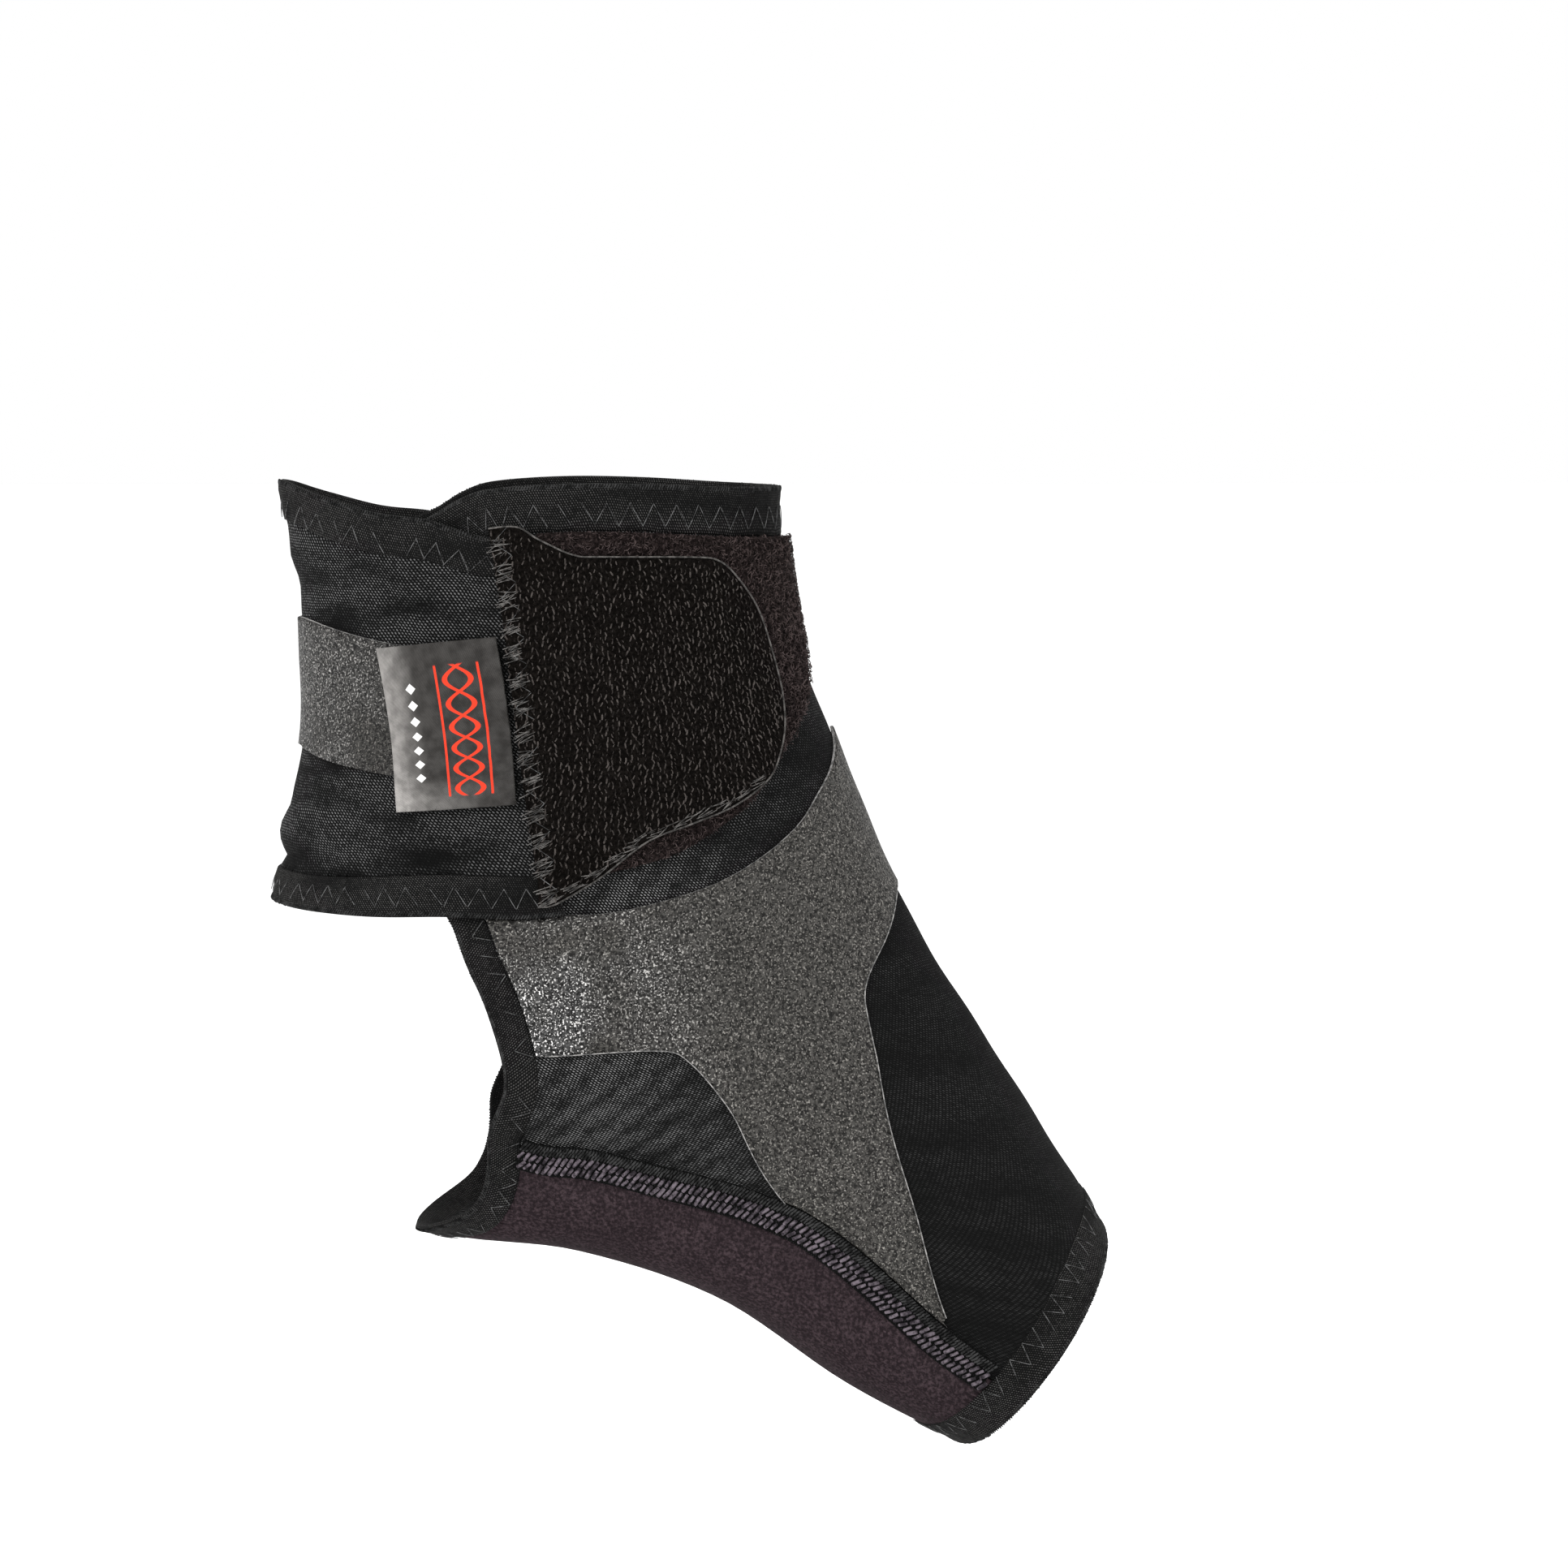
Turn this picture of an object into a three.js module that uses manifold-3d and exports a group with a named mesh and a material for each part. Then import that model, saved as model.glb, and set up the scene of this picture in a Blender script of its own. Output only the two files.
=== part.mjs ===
// Ankle brace for a left foot, in the shape it has when it is worn: a knitted sleeve with an open
// heel, and a wide strap that comes round the back of the ankle and closes with a hook tab.
// Millimetres. The origin is in the middle of the ankle collar, +X points to the toes, +Z up the
// leg, and the inner side of the foot is at -Y.
import * as THREE from "three";
import Module from "manifold-3d";

const wasm = await Module();
wasm.setup();

// Named sizes.
const REACH = 163; // from the back of the collar to the toe hem, along X
const HEIGHT = 189; // from the bottom of the toe hem to the top edge, along Z
const HALF_WIDTH = 42; // half of the width at the toe hem
const CLOTH = 1.2; // knit of the sleeve and of the sole
const BOUND = 1.5; // knit at a hem or a bound edge
const GAP = 0.3; // air left between two pieces
const PRINT = 0.6; // printed grip film
const SEAM = 0.9; // raised flat seam
const PILE = 1.7; // loop panel
const STRAP = 1.1; // knit of the strap
const LABEL = 1.0; // woven label
const TAB = 1.4; // hook tab
const TOP_HEM = 8.0; // widths of the hems and bands from here on
const STRAP_TOP_HEM = 7.0;
const STRAP_BOTTOM_HEM = 8.5;
const TOE_HEM = 8.0;
const BINDING = 6.5;
const SEAM_BAND = 6.0;

// Cross sections from above the collar to the toes. Each runs from a front point to a back point,
// as shares of REACH along x and of HEIGHT along z; half_width is a share of HALF_WIDTH. egg moves
// the widest place to the back, front_full and back_full square the two ends, and sweep carries
// the sides forward along the foot.
const SECTIONS = [
  // front_x, front_z, back_x, back_z, half_width, egg, front_full, back_full, sweep
  [0.265, 0.248, -0.3, 0.258, 0.738, 0.0, 0.02, -0.16, 0.0],
  [0.266, 0.181, -0.298, 0.181, 0.714, 0.0, 0.02, -0.17, 0.0],
  [0.28, 0.08, -0.28, 0.076, 0.702, 0.02, 0.02, -0.19, 0.0],
  [0.306, 0.004, -0.279, -0.038, 0.726, 0.05, 0.0, -0.2, 0.0],
  [0.338, -0.063, -0.3, -0.13, 0.774, 0.08, -0.04, -0.18, 0.0],
  [0.364, -0.122, -0.316, -0.214, 0.81, 0.12, -0.06, -0.12, 0.0],
  [0.401, -0.193, -0.378, -0.332, 0.821, 0.1, -0.08, 0.0, 0.0],
  [0.446, -0.266, -0.339, -0.485, 0.81, 0.05, -0.1, 0.1, 0.0],
  [0.495, -0.333, -0.156, -0.548, 0.81, 0.05, -0.1, 0.14, 0.02],
  [0.539, -0.392, 0.019, -0.565, 0.845, 0.1, -0.08, 0.18, 0.05],
  [0.584, -0.454, 0.191, -0.612, 0.893, 0.14, -0.04, 0.2, 0.08],
  [0.625, -0.51, 0.343, -0.7, 0.94, 0.14, 0.0, 0.2, 0.1],
  [0.658, -0.56, 0.479, -0.763, 0.976, 0.12, 0.02, 0.2, 0.12],
];

// Every outline below is a list of [row, angle]: the row counts the sections from the top, and the
// angle goes round the leg or foot in degrees, 0 at the front, 90 at the inner side, 180 at the back.
const TOE_ROW = 11.93;
const TOP_EDGE = [
  [0.52, 0],
  [0.5, 38],
  [0.45, 63],
  [0.45, 83],
  [0.54, 101],
  [0.7, 109],
  [0.95, 118],
  [1.1, 135],
  [1.15, 180],
];
const HEEL_HOLE = [
  [4.88, 180],
  [4.9, 150],
  [5.0, 128],
  [5.15, 114],
  [5.31, 107],
  [5.75, 101.5],
  [6.28, 98.7],
  [6.82, 101],
  [7.21, 110.5],
  [7.49, 118],
  [7.73, 128],
  [7.88, 140],
  [7.94, 160],
  [7.96, 180],
];
const SOLE_SEAM = [
  [6.9, 112],
  [7.53, 110],
  [7.87, 104.5],
  [8.62, 100],
  [9.27, 96],
  [9.68, 95.2],
  [10.68, 98],
  [11.73, 101],
  [12.6, 103],
];
const STRAP_TOP = [
  [1.17, 84],
  [1.13, 101.5],
  [1.04, 109],
  [0.93, 117],
  [0.86, 130],
  [0.68, 147],
  [0.52, 165],
  [0.48, 180],
];
const STRAP_BOTTOM = [
  [5.52, 74],
  [5.48, 89],
  [5.4, 98],
  [5.31, 108],
  [5.24, 123],
  [5.14, 143],
  [5.04, 168],
  [5.02, 180],
];
const STRAP_END = [
  [0.3, 95],
  [2.94, 90],
  [4.5, 85],
  [6.2, 79],
];
const STRAP_FILM_TOP = [
  [2.3, 104],
  [2.16, 130],
  [1.96, 163],
  [1.94, 180],
];
const STRAP_FILM_BOTTOM = [
  [3.75, 104],
  [3.53, 126],
  [3.18, 169],
  [3.16, 180],
];
const FILM_TOP = [
  [5.2, 101],
  [5.3, 92],
  [5.53, 81],
  [5.57, 69],
  [5.44, 53.4],
  [5.0, 36.7],
  [4.47, 25.3],
  [3.9, 10],
  [3.6, 0],
];
const FILM_RIGHT = [
  [6.05, 0],
  [6.2, 10],
  [6.61, 23],
  [7.05, 36],
  [7.6, 43.5],
  [8.97, 58.7],
  [9.9, 71],
  [10.82, 89.5],
];
const FILM_BELOW = [
  [10.9, 94],
  [10.0, 95],
  [9.2, 95],
];
const FILM_LEFT = [
  [9.2, 91],
  [8.88, 88],
  [7.82, 77.5],
  [7.18, 74.1],
  [6.93, 78],
  [6.66, 96],
];
const LOOP_TOP = [
  [1.24, 90.5],
  [1.0, 84],
  [1.0, 30],
  [1.06, 3],
];
const LOOP_EDGE = [
  [1.06, 3],
  [1.9, -2],
  [2.47, 5],
  [3.02, 16.8],
  [3.55, 29.4],
  [3.91, 38],
  [4.5, 47.8],
  [4.97, 61.2],
  [5.09, 72.3],
  [5.1, 80],
];
const LOOP_BACK = [
  [5.1, 80],
  [4.5, 83],
  [2.94, 88],
  [1.24, 90.5],
];
const TAB_TOP = [
  [1.04, 101],
  [1.02, 94.7],
  [1.16, 90],
  [1.32, 82.6],
  [1.34, 76],
  [1.36, 54.8],
  [1.4, 46.7],
  [1.57, 41],
  [1.89, 35.2],
  [2.32, 33],
  [2.92, 32.8],
  [3.41, 35],
  [3.84, 39.2],
  [4.15, 43.5],
  [4.46, 52],
  [4.63, 61.4],
  [4.76, 69.4],
  [5.09, 77.5],
  [5.22, 81.4],
  [5.35, 86.2],
  [5.34, 88.8],
];
const TAB_BACK = [
  [5.34, 88.8],
  [2.94, 97.8],
  [1.04, 101],
];
const LABEL_OUTLINE = [
  [2.21, 132.5],
  [2.1, 101.6],
  [4.01, 95.9],
  [3.98, 122.3],
];

// One value of a column of the table at a row that may lie between two sections.
function column(row, k) {
  const last = SECTIONS.length - 1;
  const i = Math.min(Math.max(Math.floor(row), 0), last - 1);
  const t = row - i;
  const b = SECTIONS[i][k];
  const c = SECTIONS[i + 1][k];
  const a = i > 0 ? SECTIONS[i - 1][k] : 2 * b - c;
  const d = i + 2 <= last ? SECTIONS[i + 2][k] : 2 * c - b;
  const square = 2 * a - 5 * b + 4 * c - d;
  const cube = 3 * b - a - 3 * c + d;
  return 0.5 * (2 * b + (c - a) * t + square * t * t + cube * t ** 3);
}

// The point of the skin at a row and an angle.
function skin(row, angle) {
  const q = [0, 1, 2, 3, 4, 5, 6, 7, 8].map((k) => column(row, k));
  const [frontX, frontZ, backX, backZ, halfWidth, egg, frontFull, backFull, sweep] = q;
  const across = new THREE.Vector3((frontX - backX) * REACH, 0, (frontZ - backZ) * HEIGHT);
  across.multiplyScalar(0.5);
  const p = new THREE.Vector3((frontX + backX) * REACH, 0, (frontZ + backZ) * HEIGHT);
  p.multiplyScalar(0.5);
  const c = Math.cos(THREE.MathUtils.degToRad(angle));
  const s = Math.sin(THREE.MathUtils.degToRad(angle));
  const full = (frontFull * (1 + c) + backFull * (1 - c)) / 2;
  const side = HALF_WIDTH * halfWidth * s * (1 + c * c * full);
  const along = new THREE.Vector3(across.z, 0, -across.x).normalize();
  p.addScaledVector(across, c - egg * s * s);
  p.addScaledVector(along, sweep * side);
  p.y = -side;
  return p;
}

// The two directions of the skin at a point, in millimetres per row and per degree.
function directions(row, angle) {
  const down = skin(row + 0.02, angle).sub(skin(row - 0.02, angle)).divideScalar(0.04);
  const round = skin(row, angle + 0.5).sub(skin(row, angle - 0.5));
  return { down, round };
}

// A point a given height above the skin.
function above(row, angle, height) {
  const { down, round } = directions(row, angle);
  return skin(row, angle).addScaledVector(round.cross(down).normalize(), height);
}

// A smooth line through a list of [row, angle], as plane points x = angle and y = row * ROW.
const ROW = 12; // plane units in a row, near the length of one in millimetres
function line(points, each = 2) {
  const flat = points.map(([row, angle]) => new THREE.Vector2(angle, row * ROW));
  return new THREE.SplineCurve(flat).getPoints((flat.length - 1) * each);
}

// The same line on the outer side of the foot, run the other way.
function mirrored(points, about = 0) {
  return points.map((p) => new THREE.Vector2(2 * about - p.x, p.y)).reverse();
}

// A line moved sideways over the cloth by a width in millimetres, to the left of its run as it is
// drawn with the angle to the right and the row upwards.
function moved(points, width) {
  return points.map((p, i) => {
    const { down, round } = directions(p.y / ROW, p.x);
    const before = points[Math.max(i - 1, 0)];
    const after = points[Math.min(i + 1, points.length - 1)];
    const run = round.clone().multiplyScalar(after.x - before.x);
    run.addScaledVector(down, (after.y - before.y) / ROW);
    const out = round.clone().cross(down).normalize();
    const left = out.cross(run).normalize().multiplyScalar(width);
    const a = round.dot(round);
    const b = round.dot(down);
    const d = down.dot(down);
    const u = left.dot(round);
    const v = left.dot(down);
    const angle = (u * d - v * b) / (a * d - b * b);
    const row = (v * a - u * b) / (a * d - b * b);
    return new THREE.Vector2(p.x + angle, p.y + row * ROW);
  });
}

// A closed solid with straight walls over an outline of the plane.
function prism(outline) {
  const points = outline.filter((p, i) => p.distanceTo(outline.at(i - 1)) > 1e-4);
  if (THREE.ShapeUtils.isClockWise(points)) points.reverse();
  const n = points.length;
  const faces = THREE.ShapeUtils.triangulateShape(points, []);
  const corners = [-1, 2].flatMap((z) => points.flatMap((p) => [p.x, p.y, z * ROW]));
  const triangles = faces.flatMap(([a, b, c]) => [c, b, a, a + n, b + n, c + n]);
  points.forEach((p, i) => {
    const j = (i + 1) % n;
    triangles.push(i, j, j + n, i, j + n, i + n);
  });
  return new wasm.Manifold(
    new wasm.Mesh({
      numProp: 3,
      vertProperties: new Float32Array(corners),
      triVerts: new Uint32Array(triangles),
    }),
  );
}

// A block of the plane in cells, so that the cloth bends at the same lines in every layer.
const CELL_ANGLE = 10;
const CELLS_PER_ROW = 1.5;
function block(fromAngle, toAngle, fromRow, toRow) {
  const columns = Math.round((toAngle - fromAngle) / CELL_ANGLE);
  const rows = Math.round((toRow - fromRow) * CELLS_PER_ROW);
  const index = (i, j, k) => (k * (rows + 1) + j) * (columns + 1) + i;
  const corners = [];
  for (let k = 0; k < 2; k++)
    for (let j = 0; j <= rows; j++)
      for (let i = 0; i <= columns; i++)
        corners.push(fromAngle + i * CELL_ANGLE, (fromRow + j / CELLS_PER_ROW) * ROW, k * ROW);
  const triangles = [];
  const quad = (a, b, c, d) => triangles.push(a, b, c, a, c, d);
  for (let j = 0; j < rows; j++)
    for (let i = 0; i < columns; i++) {
      quad(index(i, j, 1), index(i + 1, j, 1), index(i + 1, j + 1, 1), index(i, j + 1, 1));
      triangles.push(index(i, j, 0), index(i + 1, j + 1, 0), index(i + 1, j, 0));
      triangles.push(index(i, j, 0), index(i, j + 1, 0), index(i + 1, j + 1, 0));
    }
  for (let i = 0; i < columns; i++) {
    quad(index(i, 0, 0), index(i + 1, 0, 0), index(i + 1, 0, 1), index(i, 0, 1));
    quad(index(i + 1, rows, 0), index(i, rows, 0), index(i, rows, 1), index(i + 1, rows, 1));
  }
  for (let j = 0; j < rows; j++) {
    quad(index(0, j + 1, 0), index(0, j, 0), index(0, j, 1), index(0, j + 1, 1));
    const [low, high] = [index(columns, j, 0), index(columns, j + 1, 0)];
    quad(low, high, index(columns, j + 1, 1), index(columns, j, 1));
  }
  const triVerts = new Uint32Array(triangles);
  return new wasm.Manifold(
    new wasm.Mesh({
      numProp: 3,
      vertProperties: new Float32Array(corners),
      triVerts,
      faceID: new Uint32Array(triVerts.length / 3).map((_, i) => i + 1),
    }),
  );
}

// A point of the faceted cloth: the corners of its cell lie on the smooth shape, and the point lies
// on the flat triangle between them, so that all layers stay parallel.
function onFacet(angle, row, height) {
  const i = Math.floor(angle / CELL_ANGLE);
  const j = Math.floor(row * CELLS_PER_ROW);
  const u = angle / CELL_ANGLE - i;
  const v = row * CELLS_PER_ROW - j;
  const corner = (a, b) => above((j + b) / CELLS_PER_ROW, (i + a) * CELL_ANGLE, height);
  const start = corner(0, 0);
  const middle = u > v ? corner(1, 0) : corner(0, 1);
  const end = corner(1, 1);
  const [first, second] = u > v ? [u, v] : [v, u];
  const p = start.clone().addScaledVector(middle.clone().sub(start), first);
  return p.addScaledVector(end.sub(middle), second);
}

// The top of a cut block wrapped round the foot, closed by the same facets on its inner side and by
// walls along its border. A block that goes all the way round closes on itself.
function wrapped(solid, inner, outer) {
  const mesh = solid.getMesh();
  const known = new Map();
  const plan = [];
  const vertex = (v) => {
    const [x, y] = mesh.vertProperties.subarray(v * mesh.numProp, v * mesh.numProp + 2);
    const angle = x < -179.999 ? 180 : x;
    const key = `${angle.toFixed(3)} ${y.toFixed(3)}`;
    if (!known.has(key)) known.set(key, plan.push([angle, y / ROW]) - 1);
    return known.get(key);
  };
  const onTop = (v) => mesh.vertProperties[v * mesh.numProp + 2] > ROW * 0.999;
  const faces = [];
  for (let t = 0; t < mesh.triVerts.length; t += 3) {
    const corners = Array.from(mesh.triVerts.subarray(t, t + 3));
    if (!corners.every(onTop)) continue;
    const face = corners.map(vertex);
    if (new Set(face).size === 3) faces.push(face);
  }
  const edges = new Set(faces.flatMap(([a, b, c]) => [`${a} ${b}`, `${b} ${c}`, `${c} ${a}`]));
  const n = plan.length;
  const index = faces.flatMap(([a, b, c]) => [a, b, c, c + n, b + n, a + n]);
  for (const edge of edges) {
    const [a, b] = edge.split(" ").map(Number);
    if (!edges.has(`${b} ${a}`)) index.push(b, a, a + n, b, a + n, b + n);
  }
  const places = [outer, inner].flatMap((height) => plan.map((p) => onFacet(...p, height)));
  const geometry = new THREE.BufferGeometry().setFromPoints(places).setIndex(index);
  geometry.computeVertexNormals();
  return geometry;
}

const group = new THREE.Group();
group.name = "ankle_brace";
function piece(name, color, roughness, solid, inner, outer) {
  const material = new THREE.MeshStandardMaterial({ color, roughness });
  const mesh = new THREE.Mesh(wrapped(solid, inner, outer), material);
  mesh.name = name;
  group.add(mesh);
}

// Lines and regions of the plane. The plane goes on past a full turn, so a region at the back of
// the foot is also met 360 degrees before.
const at = (angle, row) => new THREE.Vector2(angle, row * ROW);
const turned = (points, by) => points.map((p) => at(p.x + by, p.y / ROW));
const roundFront = (half) => [...mirrored(half).slice(0, -1), ...half];
const roundBack = (half) => [...half, ...mirrored(half, 180).slice(1)];
const between = (first, second) => [...first, ...[...second].reverse()];
const atBack = (outline) => prism(outline).add(prism(turned(outline, -360)));
const onBothSides = (outline) => prism(outline).add(prism(mirrored(outline)));

// A half line that ends at the middle of the front or back, moved without leaving that middle.
function movedHalf(half, width) {
  const result = moved(half, width);
  for (const end of [0, half.length - 1]) {
    if (half[end].x === 0 || half[end].x === 180) result[end].x = half[end].x;
  }
  return result;
}

// Everything on one side of a line that goes all the way round.
function beyond(half, row) {
  const once = roundFront(half);
  const edge = [at(-190, once[0].y / ROW), ...once, ...turned(once, 360).slice(1)];
  return prism([...edge, at(edge.at(-1).x, row), at(-190, row)]);
}

const topHalf = line(TOP_EDGE);
const toeHalf = line([0, 30, 60, 90, 120, 150, 180].map((angle) => [TOE_ROW, angle]));
const aboveEdge = beyond(topHalf, -1);
const aboveHem = (width) => beyond(movedHalf(topHalf, width), -1);
const pastHem = (width) => beyond(movedHalf(toeHalf, -width), 13);
const pastEdge = beyond(toeHalf, 13);

const hole = (width) => roundBack(movedHalf(line(HEEL_HOLE, 1), width));
const seamLine = (width) => moved(line(SOLE_SEAM), width);
const otherSide = (points) => points.map((p) => at(360 - p.x, p.y / ROW));
const sole = (width) => between(seamLine(width), otherSide(seamLine(width)));
const seam = (width) => between(seamLine(width / 2), seamLine(-width / 2));

const strapTop = (width) => roundBack(movedHalf(line(STRAP_TOP, 1), width));
const strapBottom = (width) => roundBack(movedHalf(line(STRAP_BOTTOM, 1), -width));
const strapEnds = prism(between(line(STRAP_END), otherSide(line(STRAP_END))));
const underStrap = moved(line(STRAP_BOTTOM), GAP);

// Heights above the skin at which the layers start.
const onSleeve = CLOTH + GAP;
const onHem = BOUND + GAP;
const onStrap = onHem + STRAP + GAP;
const onStrapHem = onHem + BOUND + GAP;
const onStrapFilm = onStrap + PRINT + GAP;

// Sleeve, sole and their bound edges.
const tube = block(-180, 180, 0, 12);
const aroundHeel = block(80, 280, 4, 10);
const underfoot = block(90, 270, 6, 12);
const KNIT = 0x16161a;
const EDGE = 0x101013;
const sleeve = tube
  .subtract(aboveHem(TOP_HEM + GAP))
  .subtract(pastHem(TOE_HEM + GAP))
  .subtract(atBack(hole(BINDING + GAP)))
  .subtract(atBack(sole(GAP / 2)));
piece("sleeve", KNIT, 0.85, sleeve, 0, CLOTH);
const topHem = tube.intersect(aboveHem(TOP_HEM)).subtract(aboveEdge);
piece("sleeve_top_hem", EDGE, 0.8, topHem, 0, BOUND);
const toeHem = tube.intersect(pastHem(TOE_HEM)).subtract(pastEdge);
piece("toe_hem", EDGE, 0.8, toeHem, 0, BOUND);
const binding = aroundHeel.intersect(prism(hole(BINDING))).subtract(prism(hole(0)));
piece("heel_binding", EDGE, 0.8, binding, 0, BOUND);
const soleCloth = underfoot
  .intersect(prism(sole(-GAP / 2)))
  .subtract(prism(hole(BINDING + GAP)))
  .subtract(pastHem(TOE_HEM + GAP));
piece("sole_panel", 0x211b26, 0.6, soleCloth, 0, CLOTH);
const seams = [
  ["medial_sole_seam", block(80, 130, 6, 12), seam(SEAM_BAND)],
  ["lateral_sole_seam", block(230, 280, 6, 12), otherSide(seam(SEAM_BAND))],
];
for (const [name, cells, outline] of seams) {
  const stitched = cells
    .intersect(prism(outline))
    .subtract(prism(hole(BINDING + GAP)))
    .subtract(pastHem(TOE_HEM + GAP));
  piece(name, 0x131318, 0.7, stitched, onSleeve, onSleeve + SEAM);
}

// Strap round the back of the ankle.
const wrap = block(70, 290, 0, 6).intersect(strapEnds);
const strapCloth = between(strapTop(STRAP_TOP_HEM + GAP), strapBottom(STRAP_BOTTOM_HEM + GAP));
piece("rear_strap", KNIT, 0.8, wrap.intersect(prism(strapCloth)), onHem, onHem + STRAP);
const strapTopHem = wrap.intersect(prism(between(strapTop(0), strapTop(STRAP_TOP_HEM))));
piece("strap_top_hem", EDGE, 0.8, strapTopHem, onHem, onHem + BOUND);
const strapBottomHem = wrap.intersect(prism(between(strapBottom(STRAP_BOTTOM_HEM), strapBottom(0))));
piece("strap_bottom_hem", EDGE, 0.8, strapBottomHem, onHem, onHem + BOUND);

// Grip film printed on the foot and on the strap.
const FILM = 0x3b3d3a;
const filmHalf = [FILM_RIGHT, FILM_BELOW, FILM_LEFT, FILM_TOP].flatMap((run) => line(run));
const footFilm = block(-110, 110, 2, 12)
  .intersect(prism([...filmHalf, ...mirrored(filmHalf)]))
  .subtract(atBack(hole(BINDING + GAP)))
  .subtract(onBothSides(seam(SEAM_BAND + 2 * GAP)))
  .subtract(onBothSides(between(moved(line(STRAP_BOTTOM), -STRAP_BOTTOM_HEM), underStrap)));
piece("foot_grip_film", FILM, 0.75, footFilm, onSleeve, onSleeve + PRINT);
const strapFilm = between(roundBack(line(STRAP_FILM_TOP)), roundBack(line(STRAP_FILM_BOTTOM)));
const aroundBack = block(100, 260, 0, 4).intersect(prism(strapFilm));
piece("strap_grip_film", FILM, 0.75, aroundBack, onStrap, onStrap + PRINT);

// Closure: loop panel on the sleeve, hook tab over it, and the label beside the tab.
const loopOutline = [LOOP_TOP, LOOP_EDGE, LOOP_BACK].flatMap((run) => line(run, 1));
const loop = block(-10, 100, 0, 6)
  .intersect(prism(loopOutline))
  .subtract(aboveHem(TOP_HEM + GAP));
piece("loop_panel", 0x1f1a1a, 0.95, loop, onSleeve, onSleeve + PILE);
const tabStart = Math.max(onStrapHem, onSleeve + PILE + GAP);
const tab = block(20, 110, 0, 6).intersect(prism([TAB_TOP, TAB_BACK].flatMap((run) => line(run, 1))));
piece("hook_tab", 0x1c1817, 0.95, tab, tabStart, tabStart + TAB);
const label = block(90, 140, 0, 6).intersect(prism(line(LABEL_OUTLINE, 1)));
piece("side_label", 0x2a2b2f, 0.4, label, onStrapFilm, onStrapFilm + LABEL);

export default group;
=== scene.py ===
import math

import bpy
import numpy as np
from mathutils import Matrix, Vector
from mathutils.geometry import delaunay_2d_cdt


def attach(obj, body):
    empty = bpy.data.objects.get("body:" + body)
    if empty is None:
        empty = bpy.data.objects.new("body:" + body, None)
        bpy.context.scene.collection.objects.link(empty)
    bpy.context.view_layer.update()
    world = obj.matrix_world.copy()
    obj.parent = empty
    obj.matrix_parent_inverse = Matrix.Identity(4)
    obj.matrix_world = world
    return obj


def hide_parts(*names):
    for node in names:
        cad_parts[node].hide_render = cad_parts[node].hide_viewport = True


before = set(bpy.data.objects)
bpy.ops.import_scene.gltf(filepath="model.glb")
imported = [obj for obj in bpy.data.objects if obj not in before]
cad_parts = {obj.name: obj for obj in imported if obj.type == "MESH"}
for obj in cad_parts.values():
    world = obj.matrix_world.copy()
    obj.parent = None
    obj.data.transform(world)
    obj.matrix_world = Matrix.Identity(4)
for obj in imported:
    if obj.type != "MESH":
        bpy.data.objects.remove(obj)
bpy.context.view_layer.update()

MM = 0.001

# camera, floor and light

AIM = (45.4, -17.6)  # millimetres to the right of the origin and up, at the middle of the frame
AZIMUTH, ELEVATION, DISTANCE = math.radians(2), math.radians(4), 1.3
FLOOR = -0.182
SENSOR, FOCAL_PIXELS, FRAME_PIXELS = 36, 8190, 1932


def set_camera():
    forward = Vector(
        (
            math.sin(AZIMUTH) * math.cos(ELEVATION),
            math.cos(AZIMUTH) * math.cos(ELEVATION),
            -math.sin(ELEVATION),
        )
    )
    right = Vector((math.cos(AZIMUTH), -math.sin(AZIMUTH), 0))
    up = right.cross(forward)
    data = bpy.data.cameras.new("studio_camera")
    data.sensor_width = SENSOR
    data.lens = SENSOR * FOCAL_PIXELS / FRAME_PIXELS
    data.clip_end = 30
    camera = bpy.data.objects.new("studio_camera", data)
    place = right * AIM[0] * MM + up * AIM[1] * MM - forward * DISTANCE
    camera.matrix_world = Matrix.Translation(place) @ Matrix((right, up, -forward)).transposed().to_4x4()
    bpy.context.scene.collection.objects.link(camera)
    bpy.context.scene.camera = camera


def add_softbox(name, place, aim, size, power):
    data = bpy.data.lights.new(name, "AREA")
    data.shape = "RECTANGLE"
    data.size, data.size_y = size
    data.energy = power
    lamp = bpy.data.objects.new(name, data)
    turn = (Vector(aim) - Vector(place)).to_track_quat("-Z", "Y")
    lamp.matrix_world = Matrix.Translation(place) @ turn.to_matrix().to_4x4()
    bpy.context.scene.collection.objects.link(lamp)


set_camera()
add_softbox("key_softbox", (-0.85, -1.3, 1.1), (0.02, 0, -0.04), (0.8, 0.8), 24)
add_softbox("front_softbox", (0.45, -1.7, 0.1), (0.02, 0, -0.05), (1.2, 1.0), 4)
add_softbox("toe_softbox", (1.35, 0.1, 0.6), (0.03, 0, -0.05), (0.7, 1.1), 4)
add_softbox("heel_softbox", (-1.3, 0.35, 0.35), (0, 0, -0.03), (0.6, 1.1), 6)
add_softbox("top_softbox", (0.1, 0.25, 1.5), (0.02, 0, -0.05), (1.3, 1.3), 9)
sky = bpy.data.lights.new("sky_glow", "SUN")
sky.energy, sky.angle = 0.5, math.radians(120)
bpy.context.scene.collection.objects.link(bpy.data.objects.new("sky_glow", sky))
world = bpy.data.worlds.new("studio")
world.use_nodes = True
world.node_tree.nodes["Background"].inputs["Color"].default_value = (1, 1, 1, 1)
world.node_tree.nodes["Background"].inputs["Strength"].default_value = 1.0
bpy.context.scene.world = world
bpy.context.scene.view_settings.view_transform = "Standard"

# the shape of the foot, as in the CAD

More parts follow.
